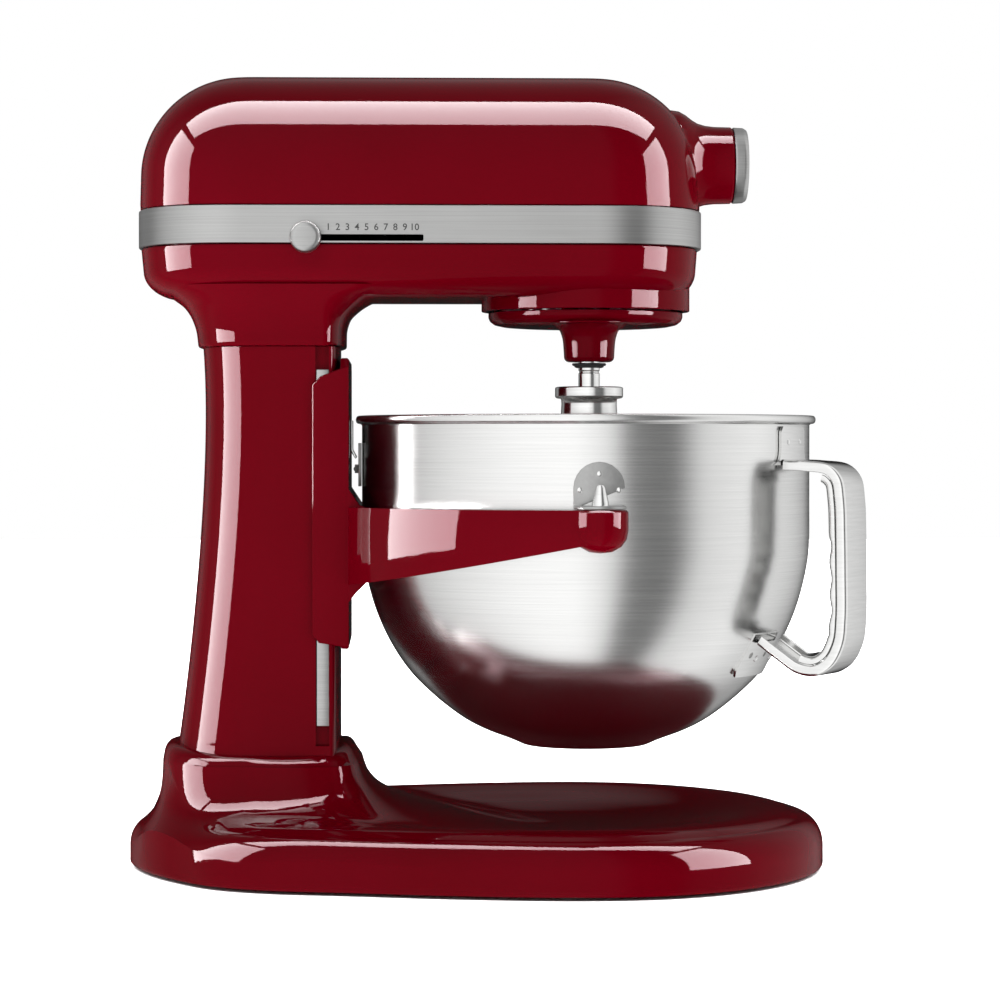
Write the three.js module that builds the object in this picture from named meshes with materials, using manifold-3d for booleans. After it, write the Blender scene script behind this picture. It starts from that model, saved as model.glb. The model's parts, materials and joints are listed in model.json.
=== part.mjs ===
// Bowl-lift stand mixer: stand with tilted column, head with planetary drive, lifting yoke and bowl.
// Millimetres, +Z up, front of the mixer towards +X, symmetry plane at Y = 0, floor at Z = 0.

import * as THREE from 'three';
import { mergeVertices } from 'three/addons/utils/BufferGeometryUtils.js';
import Module from 'manifold-3d';

const wasm = await Module();
wasm.setup();

// ---------------------------------------------------------------- driving dimensions

// general fits
const GAP = 0.35; // clearance between parts that touch or seat
const RUN = 0.8; // clearance round parts that turn or slide

// base
const BASE_REAR = 185; // rear tip behind the base datum
const BASE_FRONT = 185; // front tip ahead of the base datum
const BASE_HALF_WIDTH = 143.5;
const BASE_CREST = 32; // height of the rounded edge
const BASE_DISH = 20.5; // height of the dished area under the bowl
const BASE_WALL = 4.5;
const FOOT_HEIGHT = 6;
const FOOT_RADIUS = 12;
const FOOT_PROUD = 2; // how far the feet stand below the casting

// column
const COLLAR_TOP = 66; // joint between base collar and column
const COLUMN_TOP = 276;
const COLUMN_FRONT = -72.2;
const COLUMN_HALF_WIDTH = 51.5;
const COLUMN_WALL = 7;
const BOLT_INSET_REAR = 20.5; // rear column bolts in from the side face
const BOLT_INSET_FRONT = 13.5;
const COLLAR_PROUD = 6; // base collar wider than the column

// head
const HEAD_REAR = -178.7;
const HEAD_FRONT = 119;
const HEAD_HALF_WIDTH = 64;
const HEAD_FLOOR = 302; // underside of the head
const BAND_BOTTOM = 328.7;
const BAND_HEIGHT = 19.6;
const COVER_HEIGHT = 72.2; // cover above the band
const HEAD_WALL = 3.5;
const BAND_THICK = 3.4;
const BAND_PROUD = 0.7;

// planetary drive
const DRIVE_X = 58.3; // planetary and bowl axis
const BOSS_RADIUS = 55.6;
const BOSS_BOTTOM = 296;
const PLANET_RADIUS = 51.8;
const PLANET_BOTTOM = 288;
const RING_MODULE = 2.8;
const RING_TEETH = 34;
const PLANET_TEETH = 10;
const AGITATOR_OFFSET = (RING_MODULE * (RING_TEETH - PLANET_TEETH)) / 2;
const BOSS_SHAFT_RADIUS = 13.4; // tube round the agitator shaft
const AGITATOR_SHAFT = 5.6; // radius
const CENTRE_SHAFT = 6; // radius

// gear train
const SPUR_MODULE = 2.55;
const SPUR_TEETH = 27;
const SPUR_PINION = 9;
const WORM_MODULE = 2.1;
const WHEEL_TEETH = 20;
const WORM_STARTS = 2;
const WORM_PITCH_RADIUS = 7;
const BEVEL_MODULE = 2.8;
const BEVEL_TEETH = 10;

// motor
const MOTOR_Z = 362;
const STATOR_RADIUS = 45;
const ROTOR_RADIUS = 28;
const ROTOR_GAP = 1;
const MOTOR_SHAFT = 4.5;

// attachment hub
const HUB_Z = 374.5;
const HUB_RADIUS = 20.4;
const HUB_BORE = 13;
const HUB_FRONT = 136.7;
const HUB_CAP = 7.6;

// bowl
const BOWL_RADIUS = 119.5; // outside of the straight wall
const BOWL_RIM_Z = 240.5;
const BOWL_BOTTOM_Z = 64.5;
const BOWL_WALL = 1.2;
const RIM_ROLL = 2.2;
const HANDLE_ANGLE = (-30 * Math.PI) / 180; // from the front, towards -Y
const HANDLE_REACH = BOWL_RADIUS + 36.5; // outer face of the grip from the bowl axis
const HANDLE_WIDTH = 30;

// lifting yoke
const YOKE_TOP = 192.6; // seat of the bowl brackets
const YOKE_INNER = BOWL_RADIUS + 6;
const YOKE_OUTER = BOWL_RADIUS + 18.5;
const YOKE_PIN_Y = BOWL_RADIUS + 9.5;
const YOKE_BALL = 14;
const PLATE_THICK = 4.3;
const PLATE_TOP = 270;
const PLATE_BOTTOM = 119;
const LATCH_REACH = 3.6; // hook of the spring latch ahead of the plate
const LATCH_TO_PIN = -0.35; // from the hook tip to the pin it snaps over
const LIFT_X = -100; // lever shaft
const LIFT_Z = 150;
const CRANK = 24;
const CRANK_ANGLE = (50 * Math.PI) / 180;
const CRANK_ROLLER = 4.5;
const LEVER_LENGTH = 82;

// speed lever
const LEVER_X = -89.3;
const LEVER_TRAVEL = 55.5;
const SLOT_HEIGHT = 3.4;
const KNOB_RADIUS = 8.1;

// ---------------------------------------------------------------- derived dimensions

const BAND_TOP = BAND_BOTTOM + BAND_HEIGHT;
const HEAD_TOP = BAND_TOP + COVER_HEIGHT;
const RING_PITCH = (RING_MODULE * RING_TEETH) / 2;
const AGITATOR_Y = -AGITATOR_OFFSET;
const SPUR_DISTANCE = (SPUR_MODULE * (SPUR_TEETH + SPUR_PINION)) / 2;
const WHEEL_PITCH = (WORM_MODULE * WHEEL_TEETH) / 2;
const IDLER_Y = WHEEL_PITCH + WORM_PITCH_RADIUS + 0.5;
const IDLER_X = DRIVE_X - Math.sqrt(SPUR_DISTANCE ** 2 - IDLER_Y ** 2);
const BEVEL_PITCH = (BEVEL_MODULE * BEVEL_TEETH) / 2;
const PLATE_BACK = COLUMN_FRONT + 0.5;
const PLATE_FRONT = PLATE_BACK + PLATE_THICK;
const WING_Y = COLUMN_HALF_WIDTH + 0.6;
const LIFT_TRAVEL = 2 * CRANK * Math.sin(CRANK_ANGLE);

// ---------------------------------------------------------------- geometry helpers

const TURN = 2 * Math.PI;

function clean(geometry) {
  const bare = geometry.clone();
  for (const name of Object.keys(bare.attributes)) {
    if (name !== 'position') bare.deleteAttribute(name);
  }
  const merged = mergeVertices(bare, 1e-4);
  const source = merged.index.array;
  const kept = [];
  for (let i = 0; i < source.length; i += 3) {
    const [a, b, c] = [source[i], source[i + 1], source[i + 2]];
    if (a !== b && b !== c && c !== a) kept.push(a, b, c);
  }
  merged.setIndex(kept);
  return orient(merged);
}

function orient(geometry) {
  const p = geometry.attributes.position;
  const index = geometry.index.array;
  const a = new THREE.Vector3();
  const b = new THREE.Vector3();
  const c = new THREE.Vector3();
  let volume = 0;
  for (let i = 0; i < index.length; i += 3) {
    a.fromBufferAttribute(p, index[i]);
    b.fromBufferAttribute(p, index[i + 1]);
    c.fromBufferAttribute(p, index[i + 2]);
    volume += a.dot(b.cross(c));
  }
  if (volume < 0) {
    for (let i = 0; i < index.length; i += 3) {
      const swap = index[i];
      index[i] = index[i + 1];
      index[i + 1] = swap;
    }
  }
  return geometry;
}

function toSolid(geometry) {
  const ready = clean(geometry);
  return new wasm.Manifold(new wasm.Mesh({
    numProp: 3,
    vertProperties: Float32Array.from(ready.attributes.position.array),
    triVerts: Uint32Array.from(ready.index.array),
  }));
}

function fromSolid(solid) {
  const mesh = solid.getMesh();
  const geometry = new THREE.BufferGeometry();
  geometry.setAttribute('position', new THREE.BufferAttribute(mesh.vertProperties, 3));
  geometry.setIndex(new THREE.BufferAttribute(mesh.triVerts, 1));
  return geometry;
}

function cut(body, ...tools) {
  return fromSolid(tools.reduce((solid, tool) => solid.subtract(toSolid(tool)), toSolid(body)));
}

function join(body, ...others) {
  return fromSolid(others.reduce((solid, other) => solid.add(toSolid(other)), toSolid(body)));
}

function common(body, tool) {
  return fromSolid(toSolid(body).intersect(toSolid(tool)));
}

// Skin over equal-length rings of points, closed at both ends, or end to end when looped.
function loft(rings, looped = false) {
  const count = rings[0].length;
  const positions = rings.flat(2);
  const indices = [];
  const last = looped ? rings.length : rings.length - 1;
  for (let i = 0; i < last; i += 1) {
    const low = i * count;
    const high = ((i + 1) % rings.length) * count;
    for (let j = 0; j < count; j += 1) {
      const k = (j + 1) % count;
      indices.push(low + j, low + k, high + k, low + j, high + k, high + j);
    }
  }
  if (!looped) {
    for (const [ring, flip] of [[0, true], [rings.length - 1, false]]) {
      const centre = [0, 1, 2].map((axis) => rings[ring].reduce((sum, q) => sum + q[axis], 0) / count);
      const apex = positions.length / 3;
      positions.push(...centre);
      for (let j = 0; j < count; j += 1) {
        const k = (j + 1) % count;
        const [a, b] = flip ? [k, j] : [j, k];
        indices.push(ring * count + a, ring * count + b, apex);
      }
    }
  }
  const geometry = new THREE.BufferGeometry();
  geometry.setAttribute('position', new THREE.Float32BufferAttribute(positions, 3));
  geometry.setIndex(indices);
  return clean(geometry);
}

const AXES = {
  x: new THREE.Matrix4().makeRotationZ(-Math.PI / 2),
  y: new THREE.Matrix4(),
  z: new THREE.Matrix4().makeRotationX(Math.PI / 2),
};

// Solid of revolution: profile of [radius, distance along the axis].
function turned(profile, axis, [x, y, z], segments = 24) {
  const points = profile.map(([r, h]) => new THREE.Vector2(r, h));
  const geometry = new THREE.LatheGeometry(points, segments);
  return clean(geometry.applyMatrix4(AXES[axis]).translate(x, y, z));
}

function rod(radius, from, to, axis, at, segments = 16) {
  return turned([[0, from], [radius, from], [radius, to], [0, to]], axis, at, segments);
}

function sleeve(outer, inner, from, to, axis, at, segments = 24) {
  const profile = [[inner, from], [outer, from], [outer, to], [inner, to], [inner, from]];
  return turned(profile, axis, at, segments);
}

function block(x0, x1, y0, y1, z0, z1) {
  return new THREE.BoxGeometry(x1 - x0, y1 - y0, z1 - z0)
    .translate((x0 + x1) / 2, (y0 + y1) / 2, (z0 + z1) / 2);
}

const PLANES = {
  xy: new THREE.Matrix4(),
  xz: new THREE.Matrix4().makeBasis(
    new THREE.Vector3(1, 0, 0), new THREE.Vector3(0, 0, 1), new THREE.Vector3(0, -1, 0)),
  yz: new THREE.Matrix4().makeBasis(
    new THREE.Vector3(0, 1, 0), new THREE.Vector3(0, 0, 1), new THREE.Vector3(1, 0, 0)),
};

// Plate cut from a shape lying in a plane, filling the span between two offsets from it.
function plate(shape, plane, from, to, bevel = 0) {
  const geometry = new THREE.ExtrudeGeometry(shape, {
    depth: to - from - 2 * bevel,
    bevelEnabled: bevel > 0,
    bevelThickness: bevel,
    bevelSize: bevel,
    bevelOffset: -bevel,
    bevelSegments: 1,
    curveSegments: 6,
  });
  geometry.translate(0, 0, plane === 'xz' ? -to + bevel : from + bevel);
  return clean(geometry.applyMatrix4(PLANES[plane]));
}

function polygon(points) {
  return new THREE.Shape(points.map(([u, v]) => new THREE.Vector2(u, v)));
}

function rounded(u0, u1, v0, v1, r) {
  const shape = new THREE.Shape();
  shape.absarc(u1 - r, v0 + r, r, -Math.PI / 2, 0);
  shape.absarc(u1 - r, v1 - r, r, 0, Math.PI / 2);
  shape.absarc(u0 + r, v1 - r, r, Math.PI / 2, Math.PI);
  shape.absarc(u0 + r, v0 + r, r, Math.PI, Math.PI * 1.5);
  return shape;
}

function power(value, exponent) {
  return Math.sign(value) * Math.abs(value) ** exponent;
}

// Stadium-like plan: straight sides with rounded ends of given lengths.
function stadium(rear, front, half, rearRound, frontRound, squareness = 2.3, steps = 10) {
  const points = [];
  for (let i = 0; i <= steps; i += 1) {
    const a = -Math.PI / 2 + (Math.PI * i) / steps;
    const c = power(Math.cos(a), 2 / squareness);
    points.push([front - frontRound * (1 - c), half * power(Math.sin(a), 2 / squareness)]);
  }
  for (let i = 0; i <= steps; i += 1) {
    const a = Math.PI / 2 + (Math.PI * i) / steps;
    const c = power(-Math.cos(a), 2 / squareness);
    points.push([rear + rearRound * (1 - c), half * power(Math.sin(a), 2 / squareness)]);
  }
  return points;
}

function at(plan, height) {
  return plan.map(([x, y]) => [x, y, typeof height === 'function' ? height(x, y) : height]);
}

// ---------------------------------------------------------------- gears

// Trapezoidal teeth as [radius, angle] pairs; a negative play widens them, for internal gears.
function toothed(teeth, module, play, tip = 0.75, root = 0.95) {
  const pitch = (teeth * module) / 2;
  const slope = Math.tan((20 * Math.PI) / 180);
  const half = (Math.PI * module) / 4 - play / 2;
  const atTip = (half - slope * tip * module) / pitch;
  const atRoot = (half + slope * root * module) / pitch;
  const outline = [];
  for (let i = 0; i < teeth; i += 1) {
    const middle = (TURN * i) / teeth;
    outline.push([pitch - root * module, middle - atRoot]);
    outline.push([pitch + tip * module, middle - atTip]);
    outline.push([pitch + tip * module, middle + atTip]);
    outline.push([pitch - root * module, middle + atRoot]);
  }
  return outline;
}

function polar(outline, turn = 0) {
  return outline.map(([r, a]) => [r * Math.cos(a + turn), r * Math.sin(a + turn)]);
}

function spurGear(teeth, module, thickness, bore, turn, play = 0.5) {
  const shape = polygon(polar(toothed(teeth, module, play), turn));
  if (bore) shape.holes.push(new THREE.Path().absarc(0, 0, bore, 0, TURN, true));
  return plate(shape, 'xy', 0, thickness);
}

function helicalGear(teeth, module, thickness, twist, turn, play) {
  const outline = toothed(teeth, module, play, 0.6);
  const layers = [-0.5, 0.5];
  return loft(layers.map((k) => at(polar(outline, turn + twist * k * thickness), k * thickness)));
}

// Mitre gear about +Z with its cone apex at the origin and its back below it.
function mitreGear(teeth, module, turn, hub, play = 0.5) {
  const pitch = (teeth * module) / 2;
  const cone = Math.SQRT1_2;
  const heel = toothed(teeth, module, play, 0.65, 0.9).map(([r, a]) => {
    const depth = r - pitch;
    const radius = pitch + depth * cone;
    return [radius * Math.cos(a + turn), radius * Math.sin(a + turn), -pitch + depth * cone];
  });
  const toe = heel.map((point) => point.map((value) => value * 0.7));
  const back = heel.map(([x, y]) => {
    const scale = (pitch * 0.8) / Math.hypot(x, y);
    return [x * scale, y * scale, -pitch - 3];
  });
  const end = back.map(([x, y]) => {
    const scale = hub / Math.hypot(x, y);
    return [x * scale, y * scale, -pitch - 7];
  });
  return loft([end, back, heel, toe]);
}

// Worm along X with its thread ridges set half a pitch either side of the origin.
function wormThread(length, rootRadius, tipRadius) {
  const pitch = Math.PI * WORM_MODULE;
  const lead = pitch * WORM_STARTS;
  const around = 12;
  const rows = Math.round((length / pitch) * 4);
  const rings = [];
  for (let i = 0; i <= rows; i += 1) {
    const x = -length / 2 + (length * i) / rows;
    const ends = Math.min(1, Math.min(i, rows - i) / 3);
    const ring = [];
    for (let j = 0; j < around; j += 1) {
      const a = (TURN * j) / around;
      const phase = (x - (lead * a) / TURN) / pitch;
      const away = Math.abs(phase - Math.floor(phase) - 0.5);
      const rise = Math.min(1, Math.max(0, (0.3 - away) / 0.2)) * ends;
      const radius = rootRadius + (tipRadius - rootRadius) * rise;
      ring.push([x, radius * Math.cos(a), radius * Math.sin(a)]);
    }
    rings.push(ring);
  }
  return loft(rings);
}

// ---------------------------------------------------------------- materials

function paint(colour, roughness, metalness) {
  return () => new THREE.MeshStandardMaterial({ color: colour, roughness, metalness });
}

const enamel = paint(0x7a0014, 0.12, 0.15);
const brushed = paint(0xb4b3b1, 0.35, 0.9);
const steel = paint(0xc4c2bf, 0.25, 1);
const bowlSteel = paint(0xcfcdca, 0.2, 1);
const castAlloy = paint(0xa7a5a2, 0.45, 0.9);
const rubber = paint(0x1c1c1c, 0.85, 0);
const blackPlastic = paint(0x141414, 0.5, 0);
const copper = paint(0xb06a3a, 0.35, 0.9);
const bronze = paint(0xa37a3e, 0.35, 0.9);
const gearSteel = paint(0x8b8d90, 0.35, 0.95);
const boardGreen = paint(0x1f5a34, 0.6, 0);
const coated = paint(0xdedbd4, 0.4, 0.1);

const mixer = new THREE.Group();

function add(group, name, geometry, material) {
  const body = new THREE.Mesh(geometry, material());
  body.name = name;
  group.add(body);
}

// ---------------------------------------------------------------- base

const basePlan = (() => {
  const rearHalf = [
    [45, 1], [-10, 0.95], [-66, 0.857], [-111, 0.78], [-137, 0.675],
    [-158, 0.49], [-173, 0.3], [-182.5, 0.11],
  ];
  const rearScale = BASE_REAR / 185;
  const upper = rearHalf.map(([x, w]) => [x < 0 ? x * rearScale : x, w * BASE_HALF_WIDTH]);
  const nose = [];
  for (let i = 7; i >= 1; i -= 1) {
    const a = (Math.PI / 2) * (i / 8);
    nose.push([60 + (BASE_FRONT - 60) * Math.cos(a), BASE_HALF_WIDTH * Math.sin(a)]);
  }
  const half = [...nose.reverse(), ...upper];
  const loop = [
    [BASE_FRONT, 0], ...half, [-BASE_REAR, 0],
    ...half.slice().reverse().map(([x, y]) => [x, -y]),
  ];
  const curve = new THREE.CatmullRomCurve3(
    loop.map(([x, y]) => new THREE.Vector3(x, y, 0)), true, 'centripetal');
  return curve.getSpacedPoints(36).slice(0, 36).map((p) => [p.x, p.y]);
})();

const BASE_MIDDLE = 20;

function baseRing(scale, height) {
  return basePlan.map(([x, y]) => [BASE_MIDDLE + (x - BASE_MIDDLE) * scale, y * scale, height]);
}

function collarRing(rear, front, half, height, round = 46) {
  return at(stadium(rear, front, half, round, 14, 2.5, 7), height);
}

// The collar joint dips at the sides.
function dip(height) {
  return (x, y) => height - 6 * (y / (COLUMN_HALF_WIDTH + COLLAR_PROUD)) ** 2;
}

function columnRear(z) {
  const t = (z - COLLAR_TOP) / (COLUMN_TOP - COLLAR_TOP);
  return -158.8 + 29.5 * t - 12.8 * t * t - 3.2 * t ** 6;
}

function baseCasting() {
  const skirt = loft([
    baseRing(1, FOOT_PROUD),
    baseRing(1, 13),
    baseRing(0.992, 18.5),
    baseRing(0.966, 24),
    baseRing(0.925, 28.5),
    baseRing(0.87, BASE_CREST - 0.7),
    baseRing(0.8, BASE_CREST),
    baseRing(0.69, BASE_CREST - 2.2),
    baseRing(0.54, BASE_DISH + 4.4),
    baseRing(0.36, BASE_DISH + 0.8),
    baseRing(0.2, BASE_DISH),
  ]);
  const w = COLUMN_HALF_WIDTH;
  const top = COLLAR_TOP + 2.5;
  const rear = columnRear(COLLAR_TOP);
  const collar = loft([
    collarRing(-176, 10, w + 44, 12, 100),
    collarRing(-175, -2, w + 36, 27, 92),
    collarRing(-173, -26, w + 23, 34, 72),
    collarRing(-171, -42, w + 12, 41.5, 56),
    collarRing(-169, -53.5, w + COLLAR_PROUD + 1.5, 50.2, 48),
    collarRing(-167, -61, w + COLLAR_PROUD, top - 10, 47),
    collarRing(rear - 7.2, -64.6, w + COLLAR_PROUD - 0.6, dip(top - 4.5)),
    collarRing(rear - 5.6, -66, w + COLLAR_PROUD - 2.4, dip(top - 1.6)),
    collarRing(rear - 2.6, -68.5, w + 1.2, dip(top)),
    collarRing(rear, COLUMN_FRONT + 1, w - 1, dip(top)),
    collarRing(rear + 3, COLUMN_FRONT - 1, w - 4, dip(top - 3)),
  ]);
  const seatTool = loft([
    at(stadium(rear - 0.8, COLUMN_FRONT + 0.8, w + 0.8, 44, 12, 2.5, 7), dip(COLLAR_TOP)),
    at(stadium(rear - 0.8, COLUMN_FRONT + 0.8, w + 0.8, 44, 12, 2.5, 7), 90),
  ]);
  const hollow = loft([
    baseRing(0.965, -1),
    baseRing(0.965, 13),
    baseRing(0.9, 22),
    baseRing(0.8, BASE_CREST - BASE_WALL - 1),
    baseRing(0.5, BASE_DISH - BASE_WALL + 1.5),
    baseRing(0.3, BASE_DISH - BASE_WALL),
  ]);
  const collarHollow = loft([
    collarRing(-160, -60, w - 3, 6),
    collarRing(-152, COLUMN_FRONT - 8, w - 10, 40),
    collarRing(-149, COLUMN_FRONT - 10, w - 13, 80),
  ]);
  let casting = cut(join(skirt, collar), seatTool, hollow, collarHollow);
  for (const [x, y] of footPlaces) {
    casting = join(casting, rod(FOOT_RADIUS + 2.5, FOOT_HEIGHT + GAP, 24, 'z', [x, y, 0], 16));
    casting = cut(casting, rod(3.5 + GAP, 0, FOOT_HEIGHT + 9.5, 'z', [x, y, 0], 10));
  }
  for (const [x, y] of boltPlaces) {
    casting = join(casting, rod(8, 34, 60.4, 'z', [x, y, 0], 12));
    casting = cut(casting, rod(6.6, 0, 34, 'z', [x, y, 0], 12), rod(3.4, 20, 70, 'z', [x, y, 0], 8));
  }
  return casting;
}

const footPlaces = [[-142, 48], [-142, -48], [45, 118], [45, -118], [158, 0]];
const boltPlaces = [[-138, COLUMN_HALF_WIDTH - BOLT_INSET_REAR], [-88, COLUMN_HALF_WIDTH - BOLT_INSET_FRONT]]
  .flatMap(([x, y]) => [[x, y], [x, -y]]);

add(mixer, 'base_casting', baseCasting(), enamel);

footPlaces.forEach(([x, y], index) => {
  const profile = [
    [0, 0], [FOOT_RADIUS - 1, 0], [FOOT_RADIUS, 1.5], [FOOT_RADIUS - 0.6, FOOT_HEIGHT],
    [3.5, FOOT_HEIGHT], [3.5, FOOT_HEIGHT + 8], [0, FOOT_HEIGHT + 8],
  ];
  add(mixer, `foot_${index + 1}`, turned(profile, 'z', [x, y, 0], 14), rubber);
});

// ---------------------------------------------------------------- column

const RAIL_BACK = COLUMN_FRONT - 12.3;
const RAIL_FRONT = COLUMN_FRONT - 5.3;
const RAIL_DEPTH = 3.6;

function columnPlan(z, inset = 0) {
  const half = COLUMN_HALF_WIDTH - inset;
  return stadium(columnRear(z) + inset, COLUMN_FRONT - inset, half, 42, 10, 2.5, 7);
}

function columnCasting() {
  const heights = [100, 135, 175, 220];
  const outer = loft([
    at(columnPlan(COLLAR_TOP), dip(COLLAR_TOP + GAP + 0.1)),
    ...heights.map((z) => at(columnPlan(z), z)),
    at(columnPlan(COLUMN_TOP), COLUMN_TOP),
  ]);
  const inner = loft([
    at(columnPlan(COLLAR_TOP, COLUMN_WALL), COLLAR_TOP + 5),
    ...heights.slice(1, 3).map((z) => at(columnPlan(z, COLUMN_WALL), z)),
    at(columnPlan(COLUMN_TOP, COLUMN_WALL), COLUMN_TOP + 1),
  ]);
  const tools = [inner];
  for (const side of [-1, 1]) {
    const a = side * (COLUMN_HALF_WIDTH - RAIL_DEPTH);
    const b = side * (COLUMN_HALF_WIDTH + 5);
    tools.push(block(RAIL_BACK, RAIL_FRONT, Math.min(a, b), Math.max(a, b), 72, COLUMN_TOP + 1));
  }
  const highest = LIFT_Z + LIFT_TRAVEL / 2;
  tools.push(block(COLUMN_FRONT - 12, COLUMN_FRONT + 5, -13, 13, highest - LIFT_TRAVEL - 15, highest + 15));
  tools.push(rod(8 + GAP, 0, 90, 'y', [LIFT_X, 0, LIFT_Z], 20));
  tools.push(rod(6, 0, 90, 'y', [-104, 0, 92], 16));
  const posts = boltPlaces.map(([x, y]) => rod(7.5, COLLAR_TOP - 1.2, 86, 'z', [x, y, 0], 12));
  const bores = boltPlaces.map(([x, y]) => rod(2.9, 50, 84, 'z', [x, y, 0], 10));
  return cut(join(cut(outer, ...tools), ...posts), ...bores);
}

add(mixer, 'column_casting', columnCasting(), enamel);

for (const [name, side] of [['left', -1], ['right', 1]]) {
  const ends = [side * (COLUMN_HALF_WIDTH - RAIL_DEPTH + GAP), side * (COLUMN_HALF_WIDTH + 0.1)];
  const rail = block(
    RAIL_BACK + GAP, RAIL_FRONT - GAP, Math.min(...ends), Math.max(...ends), 79, COLUMN_TOP - 12);
  add(mixer, `guide_rail_${name}`, rail, brushed);
}

boltPlaces.forEach(([x, y], index) => {
  const profile = [[0, 29], [5.5, 29], [5.5, 33.6], [2.5, 33.6], [2.5, 76], [0, 76]];
  add(mixer, `column_bolt_${index + 1}`, turned(profile, 'z', [x, y, 0], 8), gearSteel);
});

const glandProfile = [
  [3.4, -9.8], [7.4, -9.8], [7.4, -8.2], [5.6, -8.2], [5.6, 0.4], [7.6, 0.4], [6.4, 3], [3.4, 3], [3.4, -9.8],
];
add(mixer, 'cord_gland', turned(glandProfile, 'y', [-104, COLUMN_HALF_WIDTH, 92], 16), rubber);

// ---------------------------------------------------------------- head

function headPlan(rear, front, half, inset = 0, steps = 8) {
  return stadium(rear + inset, front - inset, half - inset, 56 - inset, 58 - inset, 2.35, steps);
}

const LIP_INSET = BAND_THICK - BAND_PROUD + GAP;

function lowerHousing() {
  const front = HEAD_FRONT - 1.5;
  const rear = HEAD_REAR + 0.7;
  const half = HEAD_HALF_WIDTH - 0.6;
  const floor = HEAD_FLOOR;
  const shell = loft([
    at(headPlan(rear + 20, front - 18, half - 22), floor),
    at(headPlan(rear + 12.5, front - 12, half - 12), floor + 1.4),
    at(headPlan(rear + 6, front - 5.5, half - 4.5), floor + 4.6),
    at(headPlan(rear + 2.4, front - 1.6, half - 1.6), floor + 9),
    at(headPlan(rear + 1, front - 0.6, half - 0.5), floor + 14),
    at(headPlan(rear, front, half), BAND_BOTTOM - GAP),
    at(headPlan(rear, front, half, LIP_INSET), BAND_BOTTOM - GAP),
    at(headPlan(rear, front, half, LIP_INSET), BAND_TOP + 1.2),
  ]);
  const neck = loft([
    at(stadium(-147.9, -69.3, 53.5, 44, 12, 2.5), COLUMN_TOP + GAP),
    at(stadium(-148.8, -69.2, 53.8, 44, 12, 2.5), 284),
    at(stadium(-151, -67.5, 55, 46, 14, 2.5), 291),
    at(stadium(-154.9, -61.5, 57, 50, 20, 2.5), 297.2),
    at(stadium(-161, -53, 59, 54, 26, 2.5), 302),
    at(stadium(-168, -38, 60.5, 56, 30, 2.5), 307),
    at(stadium(-172, -30, 61, 56, 30, 2.5), 312),
  ]);
  const boss = turned([
    [0, BOSS_BOTTOM], [BOSS_RADIUS - 1.5, BOSS_BOTTOM], [BOSS_RADIUS, BOSS_BOTTOM + 1.5],
    [BOSS_RADIUS, 309], [0, 318],
  ], 'z', [DRIVE_X, 0, 0], 28);
  const inset = LIP_INSET + 3;
  const cavity = loft([
    at(headPlan(rear + 20, front - 14, half - 16, 4), floor + 7),
    at(headPlan(rear + 6, front - 3, half - 4, 4), floor + 13),
    at(headPlan(rear, front, half, inset), floor + 22),
    at(headPlan(rear, front, half, inset), BAND_TOP + 6),
  ]);
  const duct = loft([
    at(stadium(-140, COLUMN_FRONT - COLUMN_WALL, 44, 36, 9, 2.5), COLUMN_TOP - 1),
    at(stadium(-140, COLUMN_FRONT - COLUMN_WALL, 44, 36, 9, 2.5), floor + 12),
  ]);
  const gearcaseFloor = rod(58, floor + 5, floor + 12, 'z', [DRIVE_X, 0, 0], 32);
  const ringSeat = rod(RING_PITCH + 4.8, 290, 309.5, 'z', [DRIVE_X, 0, 0], 28);
  const shaftBore = rod(11 + GAP, 300, 330, 'z', [DRIVE_X, 0, 0], 24);
  const slot = block(
    LEVER_X - 4, LEVER_X + LEVER_TRAVEL + 5, -80, -50,
    BAND_BOTTOM + 0.8, BAND_BOTTOM + 0.8 + SLOT_HEIGHT + 0.6);
  const body = join(cut(join(shell, neck, boss), cavity), gearcaseFloor);
  return cut(common(body, shellLimit()), ringSeat, shaftBore, duct, slot);
}

// Keeps ribs and floors inside the outer skin of the head.
function shellLimit() {
  return loft([
    at(headPlan(HEAD_REAR, HEAD_FRONT, HEAD_HALF_WIDTH), 270),
    at(headPlan(HEAD_REAR, HEAD_FRONT, HEAD_HALF_WIDTH), 360),
  ]);
}

function coverRings(inset, base, steps) {
  const height = HEAD_TOP - inset - BAND_TOP;
  const rings = [];
  if (base < BAND_TOP) rings.push(at(coverPlan(0, inset), base));
  for (let i = 0; i <= steps; i += 1) {
    const a = (Math.PI / 2) * (i / steps) * 0.985;
    rings.push(at(coverPlan(a, inset), BAND_TOP + GAP + (height - GAP) * Math.sin(a)));
  }
  return rings;
}

function coverPlan(a, inset) {
  const half = (HEAD_HALF_WIDTH - inset) * Math.max(0.05, Math.cos(a) ** 0.92);
  const lift = Math.sin(a) * COVER_HEIGHT;
  const bend = (radius) => {
    const up = Math.max(0, lift - (COVER_HEIGHT - radius));
    return radius - Math.sqrt(Math.max(0, radius ** 2 - up ** 2));
  };
  const rear = HEAD_REAR + inset + 1.8 * (lift / COVER_HEIGHT) + bend(53);
  const front = HEAD_FRONT - inset - 3.3 * (lift / COVER_HEIGHT) - bend(52);
  const round = Math.max(0.1, Math.cos(a) ** 0.6);
  return stadium(rear, front, half, (56 - inset) * round, (58 - inset) * round, 2.35, 8);
}

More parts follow.
